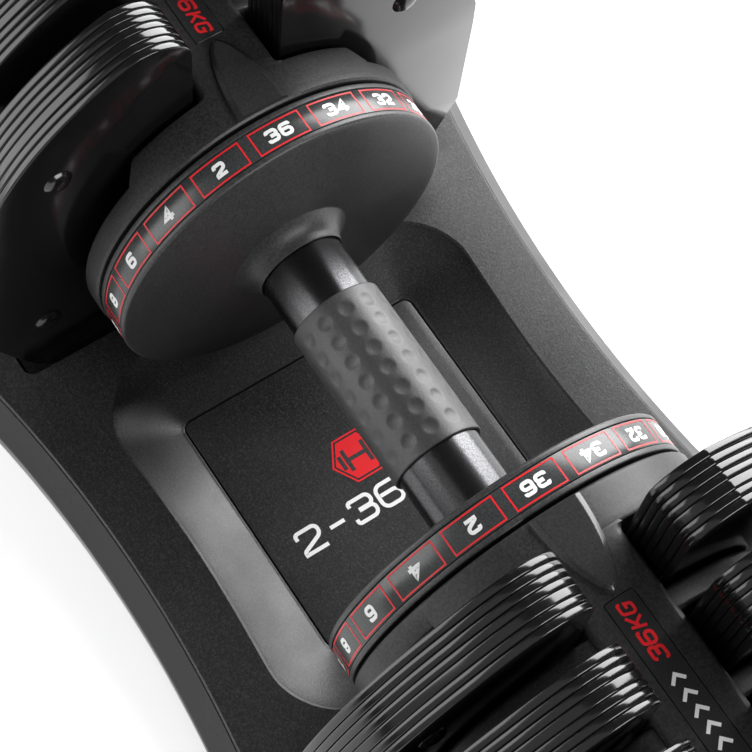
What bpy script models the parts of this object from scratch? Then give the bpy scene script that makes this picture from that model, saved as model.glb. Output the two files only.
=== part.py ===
"""Adjustable dumbbell with twist-to-select plates, standing in its storage cradle.

Metres, +Z up. +X runs along the handle. The origin is on the floor, under the middle of the handle.
Turning the handle turns both dials and every selector disc. Each plate hangs on a hook pin that reaches
into the lip of the selector disc beside it, so the lips decide which plates leave the cradle. At rest the
heaviest setting is on top, and turning the handle about +X brings up the lighter ones in turn.
"""

import math

import bmesh
import bpy
from mathutils import Matrix, Vector

# Driving dimensions
AXIS_Z = 0.0975  # height of the handle's axis above the floor
TOUCH_GAP = 0.0003  # left between pieces that touch

TUBE_R = 0.0177
TUBE_HALF = 0.0665
GRIP_R = 0.0192
GRIP_HALF = 0.0353
SHAFT_R = 0.0110
SHAFT_HALF = 0.2330

DIAL_R = 0.0730
DIAL_FRONT = 0.0590  # where the hub cone meets the tube
DIAL_BACK = 0.0876
HUB_CONE = ((0.0590, 0.0186), (0.0618, 0.0196), (0.0650, 0.0220), (0.0674, 0.0252))
FACE_RIM = ((0.0690, 0.0480), (0.0706, 0.0690), (0.0711, 0.0719), (0.0722, 0.0730))
FACE_BACK = 0.0758
RIM_STEP = (0.0812, 0.0665)  # the rim is thicker behind this, as (x, inner radius)
DIAL_HUB = (0.0830, 0.0250)  # end and radius of the hub behind the face
TUBE_STOP = 0.0670  # the hub's bore is wide enough for the tube up to here
TUBE_FIT = 0.0004
SHAFT_FIT = 0.0005
BAND_FRONT = 0.0738
BAND_BACK = 0.0850
BAND_DEPTH = 0.0010
LOCK_RING_R = 0.0555  # inside of the ring whose notches take the lock pin's tooth
LOCK_NOTCH_R = 0.0604
LOCK_NOTCH_HALF = 0.0027
LOCK_NOTCH_START = 0.0805
LOCK_NOTCH_FLOOR = 0.0500
SETTINGS = 18
SETTING_TURN = 2 * math.pi / SETTINGS

PIN_SPAN = (0.0912, 0.0976)  # the lock pin's two faces; its heights are measured from the axis
PIN_HALF = 0.0040
PIN_FOOT = -0.0735
PIN_TOP = -0.0475
ARM_SPAN = (0.0820, 0.0930)
ARM_HALF = 0.0023
ARM_LOW = -0.0515
ARM_HIGH = -0.0480
TOOTH_SPAN = (0.0820, 0.0860)
TOOTH_HALF = 0.0022
TOOTH_LOW = -0.0550
TOOTH_HIGH = -0.0500
SPRING_COILS = 4
SPRING_SIDES = 8  # straight pieces in one turn of wire
SPRING_WIRE = 0.0004
SPRING_R = 0.0026
SPRING_FOOT = -0.0472
SPRING_TOP = -0.0305

FLANGE_FRONT = 0.0890
FLANGE_BACK = 0.0983
FLANGE_R = 0.0738
FLANGE_EDGE = ((0.0890, 0.0731), (0.0897, 0.0738))  # the small bevel towards the dial
SPINE_HALF = 0.0158
SPINE_TOP = 0.0730
SPINE_FLOOR = 0.0520
COWL_EDGE = (0.0400, 0.0440)  # the cowl's lower corner, as (y, height above the axis)
COWL_TURN = 43.0  # half of the cowl's arc in degrees
BOSS_ROOT = 0.0880  # the pointer narrows from here
BOSS_TIP = 0.1240
BOSS_HALF = 0.0106
BOSS_RISE = 0.0026
BOSS_BEVEL = 0.0014
WALL = 0.0088  # thickness of a partition between two plates
WALL_R = 0.0722
END_WALL_R = 0.0675  # the last one passes over the cradle's end
END_PLATE = 0.0050
WALL_HOLE_R = 0.0340
WALL_SLOT_HALF = 0.0050
LABEL_HALF = 0.0062
LABEL_START = 0.1256
LABEL_END = 0.2170
BUSH_R = 0.0150
CAP_PROFILE = (  # the end cap, as (distance beyond the head, radius)
    (0.0, 0.0300),
    (0.0015, 0.0310),
    (0.0040, 0.0290),
    (0.0050, 0.0200),
    (0.0050, 0.0),
)

PLATE_KG = (6, 6, 3, 1, 1)  # from the handle outwards
PLATE_PER_KG = 0.00373
PLATE_CLEAR_IN = 0.0024  # from a plate to the partition on its handle side
PLATE_CLEAR_OUT = 0.0014
FIRST_SLOT = 0.1052
PLATE_SLOT_HALF = 0.0183
PLATE_SLOT_FLOOR = -0.0190
PLATE_SLOT_R = 0.0060
PLATE_ROUND_R = 0.1160
PLATE_ROUND_Z = 0.0047
PLATE_HUMP = (  # from the slot up over the hump beside it, as (y, height above the axis)
    (0.0183, 0.0980),
    (0.0186, 0.1020),
    (0.0203, 0.1062),
    (0.0232, 0.1091),
    (0.0270, 0.1114),
    (0.0306, 0.1128),
    (0.0340, 0.1135),
    (0.0380, 0.1136),
)
PLATE_SHOULDER = 0.0400  # y where the round side starts
PLATE_SIDE = 0.1131
PLATE_FLOOR = -0.0800
PLATE_CORNER = (  # from the upright side down to the bottom edge
    (0.1131, 0.0200),
    (0.1131, -0.0370),
    (0.1122, -0.0420),
    (0.1086, -0.0480),
    (0.1023, -0.0607),
    (0.0958, -0.0720),
    (0.0905, -0.0780),
    (0.0860, -0.0800),
)
HOOK_Z = -0.0232
HOOK_R = 0.0023
HOOK_REACH = 0.0056

DISC_R = 0.0300
DISC_LIP_R = 0.0265
DISC_WEB = 0.0030
DISC_LIP = 0.0050

BASE_BOTTOM = 0.0020
BASE_TOP = 0.0282
BASE_SHELL = 0.0030
SKIRT_Z = 0.0156
SKIRT_OUT = 0.0094
WAIST_HALF = 0.1079
WAIST_BEND = 0.843  # the side is WAIST_HALF + WAIST_BEND * x * x
SIDE_END_X = 0.1766
CORNER_R = 0.0400
RECESS_X = 0.0865
RECESS_Y = 0.0846
RECESS_R = 0.0320
RECESS_FLOOR = 0.0123
RECESS_DIP = 0.0026  # how far the recess's long sides bend inwards in the middle
RECESS_DIP_X = 0.0620
PANEL_HALF = 0.0570
PANEL_R = 0.0035
PANEL_THICK = 0.0020
TROUGH_FLOOR = 0.0205  # clears the dials
WELL_START = 0.1040
WELL_END = 0.2225
WELL_HALF = 0.1022
WELL_FLOOR = 0.0115
FOOT_X = 0.1900
FOOT_Y = 0.1180
FOOT_R = 0.0090
FOOT_TALL = 0.0037


def new_collection(name):
    collection = bpy.data.collections.new(name)
    bpy.context.scene.collection.children.link(collection)
    return collection


for old in list(bpy.data.objects):
    bpy.data.objects.remove(old, do_unlink=True)

PARTS = new_collection("adjustable_dumbbell")
CUTTERS = new_collection("cutters")
CUTTERS.hide_render = True


def material(name, colour, roughness, metallic=0.0):
    made = bpy.data.materials.new(name)
    made.use_nodes = True
    shader = made.node_tree.nodes["Principled BSDF"]
    shader.inputs["Base Color"].default_value = (*colour, 1.0)
    shader.inputs["Roughness"].default_value = roughness
    shader.inputs["Metallic"].default_value = metallic
    made.diffuse_color = (*colour, 1.0)
    return made


PLASTIC = material("charcoal_plastic", (0.035, 0.036, 0.038), 0.55)
CRADLE = material("cradle_plastic", (0.030, 0.031, 0.033), 0.65)
PAINTED = material("black_painted_steel", (0.010, 0.010, 0.011), 0.18, 0.3)
CHROME = material("smoked_chrome", (0.10, 0.10, 0.11), 0.12, 1.0)
RUBBER = material("grip_rubber", (0.030, 0.030, 0.032), 0.75)
BAND = material("number_band_plastic", (0.040, 0.040, 0.042), 0.45)
LABEL = material("label_foil", (0.020, 0.020, 0.022), 0.40)
PANEL = material("panel_plastic", (0.016, 0.017, 0.018), 0.60)
STEEL = material("zinc_steel", (0.45, 0.46, 0.48), 0.35, 1.0)
NYLON = material("nylon", (0.55, 0.54, 0.50), 0.50)
BRONZE = material("bush_bronze", (0.55, 0.38, 0.18), 0.35, 1.0)

AXIS = bpy.data.objects.new("handle_axis", None)
AXIS.location = (0, 0, AXIS_Z)
PARTS.objects.link(AXIS)


def mesh_object(name, mesh, finish, parent=AXIS, sharp=math.radians(35)):
    """Turns a mesh's faces outwards and adds it to the parts, smooth except at its sharp edges."""
    shell = bmesh.new()
    shell.from_mesh(mesh)
    bmesh.ops.remove_doubles(shell, verts=shell.verts, dist=1e-6)
    bmesh.ops.recalc_face_normals(shell, faces=shell.faces)
    shell.to_mesh(mesh)
    shell.free()
    mesh.shade_smooth()
    mesh.set_sharp_from_angle(angle=sharp)
    mesh.materials.clear()
    mesh.materials.append(finish)
    made = bpy.data.objects.new(name, mesh)
    made.parent = parent
    PARTS.objects.link(made)
    return made


def helper_object(name, mesh, parent=AXIS):
    """A cutter, or a shape that is joined to a part."""
    shell = bmesh.new()
    shell.from_mesh(mesh)
    bmesh.ops.recalc_face_normals(shell, faces=shell.faces)
    shell.to_mesh(mesh)
    shell.free()
    made = bpy.data.objects.new(name, mesh)
    made.parent = parent
    made.hide_render = True
    made.display_type = "WIRE"
    CUTTERS.objects.link(made)
    return made


def evaluated_mesh(source):
    bpy.context.view_layer.update()
    graph = bpy.context.evaluated_depsgraph_get()
    return bpy.data.meshes.new_from_object(source.evaluated_get(graph), depsgraph=graph)


def turned_mesh(name, profile, steps):
    """Turns a closed outline of (x, radius) points about the X axis with a Screw modifier."""
    outline = bpy.data.meshes.new(name + "_outline")
    count = len(profile)
    edges = [(i, (i + 1) % count) for i in range(count)]
    outline.from_pydata([(x, 0, radius) for x, radius in profile], edges, [])
    source = bpy.data.objects.new(name + "_outline", outline)
    CUTTERS.objects.link(source)
    screw = source.modifiers.new("turn", "SCREW")
    screw.axis = "X"
    screw.steps = steps
    screw.render_steps = steps
    screw.use_merge_vertices = True
    screw.merge_threshold = 0.00001
    mesh = evaluated_mesh(source)
    bpy.data.objects.remove(source, do_unlink=True)
    return mesh


def extruded_mesh(name, outline, low, high):
    """A flat outline of (y, z) points, filled and extruded along X from low to high."""
    curve = bpy.data.curves.new(name + "_outline", "CURVE")
    curve.dimensions = "2D"
    curve.fill_mode = "BOTH"
    curve.extrude = (high - low) / 2
    spline = curve.splines.new("POLY")
    spline.points.add(len(outline) - 1)
    for point, (y, z) in zip(spline.points, outline):
        point.co = (y, z, 0, 1)
    spline.use_cyclic_u = True
    source = bpy.data.objects.new(name + "_outline", curve)
    CUTTERS.objects.link(source)
    mesh = evaluated_mesh(source)
    bpy.data.objects.remove(source, do_unlink=True)
    # The curve lies in its own XY plane: its x becomes Y, its y becomes Z and its depth becomes X.
    mesh.transform(Matrix(((0, 0, 1, (low + high) / 2), (1, 0, 0, 0), (0, 1, 0, 0), (0, 0, 0, 1))))
    welded = bmesh.new()
    welded.from_mesh(mesh)
    bmesh.ops.remove_doubles(welded, verts=welded.verts, dist=1e-6)
    welded.to_mesh(mesh)
    welded.free()
    return mesh


def lofted_mesh(name, rings):
    """Joins rings of points, each with the same number of points, and caps the first and the last."""
    solid = bmesh.new()
    loops = [[solid.verts.new(point) for point in ring] for ring in rings]
    for low, high in zip(loops, loops[1:]):
        for i in range(len(low)):
            j = (i + 1) % len(low)
            solid.faces.new((low[i], low[j], high[j], high[i]))
    caps = [solid.faces.new(loops[0]), solid.faces.new(loops[-1])]
    bmesh.ops.triangulate(solid, faces=caps)
    mesh = bpy.data.meshes.new(name)
    solid.to_mesh(mesh)
    solid.free()
    return mesh


def box_mesh(name, low, high):
    solid = bmesh.new()
    bmesh.ops.create_cube(solid, size=1.0)
    size = Vector(high) - Vector(low)
    middle = (Vector(high) + Vector(low)) / 2
    bmesh.ops.scale(solid, vec=size, verts=solid.verts)
    bmesh.ops.translate(solid, vec=middle, verts=solid.verts)
    mesh = bpy.data.meshes.new(name)
    solid.to_mesh(mesh)
    solid.free()
    return mesh


def rod_mesh(name, start, end, radius, sides):
    """A round rod from start to end."""
    solid = bmesh.new()
    along = Vector(end) - Vector(start)
    bmesh.ops.create_cone(
        solid, cap_ends=True, segments=sides, radius1=radius, radius2=radius, depth=along.length
    )
    turn = Vector((0, 0, 1)).rotation_difference(along).to_matrix().to_4x4()
    middle = (Vector(start) + Vector(end)) / 2
    bmesh.ops.transform(solid, matrix=Matrix.Translation(middle) @ turn, verts=solid.verts)
    mesh = bpy.data.meshes.new(name)
    solid.to_mesh(mesh)
    solid.free()
    return mesh


def combine(target, tool, operation):
    """Applies a Boolean of target with tool, and keeps the result as target's mesh."""
    cut = target.modifiers.new(operation.lower(), "BOOLEAN")
    cut.operation = operation
    cut.object = tool
    cut.solver = "EXACT"
    finish = target.data.materials[0] if target.data.materials else None
    old = target.data
    target.data = evaluated_mesh(target)
    target.modifiers.clear()
    bpy.data.meshes.remove(old)
    target.data.materials.clear()
    if finish:
        target.data.materials.append(finish)
    bpy.data.objects.remove(tool, do_unlink=True)


def weld(target, distance=0.00002, sharp=math.radians(35)):
    """Clears the slivers that a Boolean leaves, and sets the shading again."""
    solid = bmesh.new()
    solid.from_mesh(target.data)
    bmesh.ops.remove_doubles(solid, verts=solid.verts, dist=distance)
    bmesh.ops.dissolve_degenerate(solid, edges=solid.edges, dist=distance)
    flat = math.radians(0.2)
    bmesh.ops.dissolve_limit(solid, angle_limit=flat, verts=solid.verts, edges=solid.edges)
    bmesh.ops.triangulate(solid, faces=solid.faces)
    bmesh.ops.recalc_face_normals(solid, faces=solid.faces)
    solid.to_mesh(target.data)
    solid.free()
    target.data.shade_smooth()
    target.data.set_sharp_from_angle(angle=sharp)


def arc(centre, radius, start, end, count):
    """Points on an arc, in degrees, both ends included."""
    points = []
    for i in range(count + 1):
        angle = math.radians(start + (end - start) * i / count)
        points.append((centre[0] + radius * math.cos(angle), centre[1] + radius * math.sin(angle)))
    return points


def rounded_rectangle(half_x, half_y, radius, z, steps=5, centre=(0.0, 0.0)):
    """A ring of points round a rectangle with rounded corners, at height z."""
    ring = []
    for quarter, (sx, sy) in enumerate(((1, 1), (-1, 1), (-1, -1), (1, -1))):
        corner = (centre[0] + sx * (half_x - radius), centre[1] + sy * (half_y - radius))
        start = 90 * quarter
        ring += [(x, y, z) for x, y in arc(corner, radius, start, start + 90, steps)]
    return ring


def waisted_ring(half_x, half_y, radius, dip, z):
    """A rounded rectangle whose two sides along X bend inwards by dip in the middle."""
    corners = rounded_rectangle(half_x, half_y, radius, z)
    parts = 8
    ring = []
    for i, (x, y, _) in enumerate(corners):
        next_x, next_y, _ = corners[(i + 1) % len(corners)]
        ring.append((x, y))
        if abs(next_x - x) > half_x:
            ring += [(x + (next_x - x) * k / parts, y) for k in range(1, parts)]
    result = []
    for x, y in ring:
        bend = dip * max(0.0, 1 - (x / RECESS_DIP_X) ** 2) ** 1.5
        result.append((x, y - math.copysign(bend, y), z))
    return result


def plate_places():
    """(kg, inner face, outer face) of each plate of one head, as distances from the middle."""
    places = []
    slot = FIRST_SLOT
    for kg in PLATE_KG:
        inner = slot + PLATE_CLEAR_IN
        outer = inner + kg * PLATE_PER_KG
        places.append((kg, inner, outer))
        slot = outer + PLATE_CLEAR_OUT + WALL
    return places


PLACES = plate_places()
LAST_WALL = PLACES[-1][2] + PLATE_CLEAR_OUT
HEAD_END = LAST_WALL + WALL + END_PLATE


def span(side, low, high):
    """An interval of distances from the middle, on the given side, in rising order of x."""
    return (low, high) if side > 0 else (-high, -low)


# Handle


def build_handle():
    shaft = rod_mesh("selector_shaft", (-SHAFT_HALF, 0, 0), (SHAFT_HALF, 0, 0), SHAFT_R, 32)
    mesh_object("selector_shaft", shaft, STEEL)
    bore = SHAFT_R + SHAFT_FIT
    tube = [(-TUBE_HALF, bore), (TUBE_HALF, bore), (TUBE_HALF, TUBE_R), (-TUBE_HALF, TUBE_R)]
    mesh_object("handle_tube", turned_mesh("handle_tube", tube, 32), CHROME)
    inner = TUBE_R + TOUCH_GAP
    lip = 0.0008
    grip = [
        (-GRIP_HALF, inner),
        (GRIP_HALF, inner),
        (GRIP_HALF, GRIP_R - lip),
        (GRIP_HALF - lip, GRIP_R),
        (-GRIP_HALF + lip, GRIP_R),
        (-GRIP_HALF, GRIP_R - lip),
    ]
    mesh_object("grip_sleeve", turned_mesh("grip_sleeve", grip, 32), RUBBER)


def dial_profile(side):
    """The dial's section: hub cone, slightly domed face, rim with a groove for the numbers, lock ring."""
    socket = TUBE_R + TUBE_FIT
    bore = SHAFT_R + SHAFT_FIT
    rim = DIAL_R
    groove = DIAL_R - BAND_DEPTH - TOUCH_GAP
    points = [
        (DIAL_FRONT, socket),
        *HUB_CONE,
        *FACE_RIM,
        (BAND_FRONT - TOUCH_GAP, rim),
        (BAND_FRONT - TOUCH_GAP, groove),
        (BAND_BACK + TOUCH_GAP, groove),
        (BAND_BACK + TOUCH_GAP, rim),
        (DIAL_BACK, rim),
        (DIAL_BACK, LOCK_RING_R),
        (RIM_STEP[0], LOCK_RING_R),
        RIM_STEP,
        (FACE_BACK, RIM_STEP[1]),
        (FACE_BACK, DIAL_HUB[1]),
        DIAL_HUB,
        (DIAL_HUB[0], bore),
        (TUBE_STOP, bore),
        (TUBE_STOP, socket),
    ]
    return [(side * x, radius) for x, radius in points]


def build_dial(side, word):
    mesh = turned_mesh(word + "_dial", dial_profile(side), 2 * SETTINGS)
    dial = mesh_object(word + "_dial", mesh, PLASTIC)
    low, high = span(side, LOCK_NOTCH_START, DIAL_BACK + 0.001)
    notches = bmesh.new()
    for i in range(SETTINGS):
        made = bmesh.ops.create_cube(notches, size=1.0)["verts"]
        size = (high - low, 2 * LOCK_NOTCH_HALF, LOCK_NOTCH_R - LOCK_NOTCH_FLOOR)
        bmesh.ops.scale(notches, vec=size, verts=made)
        middle = ((low + high) / 2, 0, (LOCK_NOTCH_R + LOCK_NOTCH_FLOOR) / 2)
        bmesh.ops.translate(notches, vec=middle, verts=made)
        turn = Matrix.Rotation(i * SETTING_TURN, 3, "X")
        bmesh.ops.rotate(notches, cent=(0, 0, 0), matrix=turn, verts=made)
    mesh = bpy.data.meshes.new("notches")
    notches.to_mesh(mesh)
    notches.free()
    combine(dial, helper_object(word + "_notches", mesh), "DIFFERENCE")
    weld(dial)
    inner = DIAL_R - BAND_DEPTH
    low, high = span(side, BAND_FRONT, BAND_BACK)
    outer = DIAL_R - 0.0002
    band = [(low, inner), (high, inner), (high, outer), (low, outer)]
    mesh_object(word + "_number_band", turned_mesh("band", band, 2 * SETTINGS), BAND)


# Selector discs: a web on the shaft, and a lip that passes under the hook of the plate beside it


def lifted_plates(kg):
    """Which plates of one head make up kg, heaviest first."""
    lifted = []
    for plate in PLATE_KG:
        takes = plate <= kg
        lifted.append(takes)
        kg -= plate if takes else 0
    return lifted


def build_disc(side, word, index, outer):
    """The disc beyond a plate's outer face. Segment k serves the setting k steps below the heaviest."""
    web_low, web_high = span(side, outer + 0.0010 + DISC_LIP, outer + 0.0010 + DISC_LIP + DISC_WEB)
    near = web_low if side > 0 else web_high
    far = web_high if side > 0 else web_low
    disc = bmesh.new()
    rings = []
    for radius in (SHAFT_R + 0.0006, DISC_LIP_R, DISC_R):
        ring = []
        for k in range(SETTINGS):
            angle = (k - 0.5) * SETTING_TURN
            # Angles are measured from straight down, towards -Y.
            ring.append(disc.verts.new((near, -radius * math.sin(angle), -radius * math.cos(angle))))
        rings.append(ring)
    web = []
    lip = []
    for k in range(SETTINGS):
        n = (k + 1) % SETTINGS
        web.append(disc.faces.new((rings[0][k], rings[0][n], rings[1][n], rings[1][k])))
        edge = disc.faces.new((rings[1][k], rings[1][n], rings[2][n], rings[2][k]))
        web.append(edge)
        # Turning the handle k settings about +X, so that the numbers on top move towards -Y, brings
        # segment k to the bottom and the number k settings below the heaviest to the top.
        if lifted_plates(SETTINGS - 1 - k)[index]:
            lip.append(edge)
    copied = bmesh.ops.duplicate(disc, geom=web)
    back = [item for item in copied["geom"] if isinstance(item, bmesh.types.BMVert)]
    bmesh.ops.translate(disc, vec=(far - near, 0, 0), verts=back)
    rims = [edge for edge in disc.edges if edge.is_boundary]
    bmesh.ops.bridge_loops(disc, edges=[e for e in rims if rim_radius(e) > DISC_LIP_R])
    bmesh.ops.bridge_loops(disc, edges=[e for e in rims if rim_radius(e) < DISC_LIP_R])
    raised = bmesh.ops.extrude_face_region(disc, geom=lip)
    moved = [item for item in raised["geom"] if isinstance(item, bmesh.types.BMVert)]
    bmesh.ops.translate(disc, vec=(-side * DISC_LIP, 0, 0), verts=moved)
    bmesh.ops.delete(disc, geom=lip, context="FACES_ONLY")
    mesh = bpy.data.meshes.new("disc")
    disc.to_mesh(mesh)
    disc.free()
    mesh_object(f"{word}_selector_disc_{index + 1}", mesh, NYLON)


def rim_radius(edge):
    middle = (edge.verts[0].co + edge.verts[1].co) / 2
    return math.hypot(middle.y, middle.z)


# Plates


def plate_outline():
    """Half of the plate's outline is drawn from the slot's floor to the bottom edge, and then mirrored."""
    half = [(0.0, PLATE_SLOT_FLOOR)]
    half += arc((PLATE_SLOT_HALF - PLATE_SLOT_R, PLATE_SLOT_FLOOR + PLATE_SLOT_R), PLATE_SLOT_R, -90, 0, 3)
    half += PLATE_HUMP
    start = math.degrees(math.acos(PLATE_SHOULDER / PLATE_ROUND_R))
    end = math.degrees(math.acos((PLATE_SIDE - 0.0006) / PLATE_ROUND_R))
    half += arc((0.0, PLATE_ROUND_Z), PLATE_ROUND_R, start, end, 6)
    half += PLATE_CORNER
    mirrored = [(-y, z) for y, z in reversed(half[1:])]
    return half + mirrored


def build_plate(side, word, index):
    kg, inner, outer = PLACES[index]
    low, high = span(side, inner, outer)
    mesh = extruded_mesh("plate", plate_outline(), low, high)
    beside = "inner" if index in (0, 3) else "outer"
    name = f"{word}_plate_{kg}kg" if kg == 3 else f"{word}_plate_{kg}kg_{beside}"
    plate = mesh_object(name, mesh, PAINTED)
    root = side * (outer - 0.0015)
    tip = side * (outer + HOOK_REACH)
    hook = rod_mesh("hook", (root, 0, HOOK_Z), (tip, 0, HOOK_Z), HOOK_R, 10)
    combine(plate, helper_object("hook", hook), "UNION")
    weld(plate)


# Head housings


def partition_outline(radius):
    """A disc with a round hole for the selector disc, and a slot below it for the hook to leave by."""
    foot = math.degrees(math.asin(WALL_SLOT_HALF / radius))
    eye = math.degrees(math.asin(WALL_SLOT_HALF / WALL_HOLE_R))
    outside = arc((0, 0), radius, -90 + foot, 270 - foot, 30)
    inside = arc((0, 0), WALL_HOLE_R, 270 - eye, -90 + eye, 16)
    return outside + inside


def boss_ring(side, grow, z):
    """The pointer beside the dial, which narrows to a tip like a lancet arch."""
    start = FLANGE_FRONT + 0.0022
    reach = BOSS_TIP - BOSS_ROOT
    points = []
    for part in (0.0, 0.2, 0.38, 0.54, 0.68, 0.80, 0.90, 0.97):
        x = start + (BOSS_TIP - start) * part
        width = BOSS_HALF * (1 - ((x - BOSS_ROOT) / reach) ** 1.9) ** 0.62
        # Growing it moves each point out from the pointer's middle line, and its tip forwards.
        points.append((x + grow * part, width + grow))
    points.append((BOSS_TIP + grow, 0.0))
    points += [(x, -y) for x, y in reversed(points[:-1])]
    return [(side * x, y, z) for x, y in points]


def build_housing(side, word):
    flange = [
        (FLANGE_FRONT, BUSH_R + TOUCH_GAP),
        *FLANGE_EDGE,
        (FLANGE_BACK, FLANGE_R),
        (FLANGE_BACK, BUSH_R + TOUCH_GAP),
    ]
    mesh = turned_mesh("flange", [(side * x, radius) for x, radius in flange], 48)
    housing = mesh_object(word + "_head_housing", mesh, PLASTIC)

    def add(name, mesh):
        combine(housing, helper_object(name, mesh), "UNION")

    cowl = arc((0, 0), FLANGE_R, 90 - COWL_TURN, 90 + COWL_TURN, 14)
    cowl += [(-COWL_EDGE[0], COWL_EDGE[1]), COWL_EDGE]
    add("cowl", extruded_mesh("cowl", cowl, *span(side, FLANGE_BACK - 0.002, FIRST_SLOT)))
    for kg, inner, outer in PLACES:
        low = outer + PLATE_CLEAR_OUT
        radius = WALL_R if outer < PLACES[-1][2] else END_WALL_R
        wall = extruded_mesh("wall", partition_outline(radius), *span(side, low, low + WALL))
        add("wall", wall)
    top = SPINE_TOP
    spine = [
        (SPINE_HALF, SPINE_FLOOR),
        (SPINE_HALF, top - 0.0022),
        (SPINE_HALF - 0.0012, top - 0.0006),
        (SPINE_HALF - 0.0035, top),
        (-SPINE_HALF + 0.0035, top),
        (-SPINE_HALF + 0.0012, top - 0.0006),
        (-SPINE_HALF, top - 0.0022),
        (-SPINE_HALF, SPINE_FLOOR),
    ]
    spine_end = LAST_WALL + WALL - 0.0005
    add("spine", extruded_mesh("spine", spine, *span(side, FLANGE_BACK - 0.003, spine_end)))
    rings = [boss_ring(side, 0.0, top - 0.004)]
    rings.append(boss_ring(side, 0.0, top + BOSS_RISE - BOSS_BEVEL))
    rings.append(boss_ring(side, -BOSS_BEVEL, top + BOSS_RISE))
    add("boss", lofted_mesh("boss", rings))
    bearing = [
        (LAST_WALL + WALL - 0.0010, BUSH_R + TOUCH_GAP),
        (LAST_WALL + WALL - 0.0010, END_WALL_R - 0.0010),
        (HEAD_END - 0.0010, END_WALL_R - 0.0010),
        (HEAD_END, END_WALL_R - 0.0020),
        (HEAD_END, BUSH_R + TOUCH_GAP),
    ]
    add("bearing", turned_mesh("bearing", [(side * x, radius) for x, radius in bearing], 30))
    low, high = span(side, LABEL_START, LABEL_END)
    pocket = box_mesh("pocket", (low, -LABEL_HALF, top - 0.0008), (high, LABEL_HALF, top + 0.01))
    combine(housing, helper_object("pocket", pocket), "DIFFERENCE")
    low, high = span(side, FLANGE_FRONT - 0.002, FLANGE_BACK + 0.002)
    channel = box_mesh("channel", (low, -0.0048, -0.0850), (high, 0.0048, -0.0300))
    combine(housing, helper_object("channel", channel), "DIFFERENCE")
    weld(housing)

    gap = TOUCH_GAP
    low, high = span(side, LABEL_START + gap, LABEL_END - gap)
    half = LABEL_HALF - gap
    label = box_mesh("label", (low, -half, top - 0.0008 + gap), (high, half, top - 0.0001))
    mesh_object(word + "_spine_label", label, LABEL)


def build_bushes(side, word):
    for place, low, high in (
        ("inner", FLANGE_FRONT - 0.0010, FLANGE_BACK),
        ("outer", LAST_WALL + WALL, HEAD_END - 0.0005),
    ):
        bore = SHAFT_R + 0.0004
        section = [(low, bore), (high, bore), (high, BUSH_R), (low, BUSH_R)]
        mesh = turned_mesh("bush", [(side * x, radius) for x, radius in section], 24)
        mesh_object(f"{word}_{place}_bush", mesh, BRONZE)
    # A dished cap screwed into the end of the shaft keeps the head on it.
    face = HEAD_END + TOUCH_GAP
    cap = [
        (SHAFT_HALF + TOUCH_GAP, 0.0),
        (SHAFT_HALF + TOUCH_GAP, SHAFT_R - 0.0002),
        (face, SHAFT_R - 0.0002),
        *[(face + out, radius) for out, radius in CAP_PROFILE],
    ]
    mesh = turned_mesh("cap", [(side * x, radius) for x, radius in cap], 24)
    mesh_object(word + "_end_cap", mesh, PLASTIC)


def build_lock(side, word):
    """A post in the cradle holds the pin up. Off the cradle its spring drives its tooth into the dial."""
    stem_low, stem_high = span(side, *PIN_SPAN)
    stem = box_mesh("stem", (stem_low, -PIN_HALF, PIN_FOOT), (stem_high, PIN_HALF, PIN_TOP))
    pin = mesh_object(word + "_lock_pin", stem, STEEL)
    for name, reach, half, low_z, high_z in (
        ("arm", ARM_SPAN, ARM_HALF, ARM_LOW, ARM_HIGH),
        ("tooth", TOOTH_SPAN, TOOTH_HALF, TOOTH_LOW, TOOTH_HIGH),
    ):
        low, high = span(side, *reach)
        mesh = box_mesh(name, (low, -half, low_z), (high, half, high_z))
        combine(pin, helper_object(name, mesh), "UNION")
    weld(pin)
    curve = bpy.data.curves.new("spring", "CURVE")
    curve.dimensions = "3D"
    curve.bevel_depth = SPRING_WIRE
    curve.bevel_resolution = 0
    curve.use_fill_caps = True
    spline = curve.splines.new("POLY")
    spline.points.add(SPRING_COILS * SPRING_SIDES)
    middle = (stem_low + stem_high) / 2
    tall = SPRING_TOP - SPRING_FOOT - 2 * SPRING_WIRE
    for i, point in enumerate(spline.points):
        angle = 2 * math.pi * i / SPRING_SIDES
        rise = SPRING_FOOT + SPRING_WIRE + tall * i / (SPRING_COILS * SPRING_SIDES)
        point.co = (middle + SPRING_R * math.cos(angle), SPRING_R * math.sin(angle), rise, 1)
    source = bpy.data.objects.new("spring_path", curve)
    CUTTERS.objects.link(source)
    mesh = evaluated_mesh(source)
    bpy.data.objects.remove(source, do_unlink=True)
    mesh_object(word + "_lock_spring", mesh, STEEL, sharp=math.radians(60))
    top = AXIS_Z + PIN_FOOT - TOUCH_GAP
    foot = TROUGH_FLOOR + TOUCH_GAP
    post = box_mesh("post", (stem_low, -PIN_HALF, foot), (stem_high, PIN_HALF, top))
    mesh_object(word + "_lock_post", post, STEEL, parent=None)


# Cradle


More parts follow.
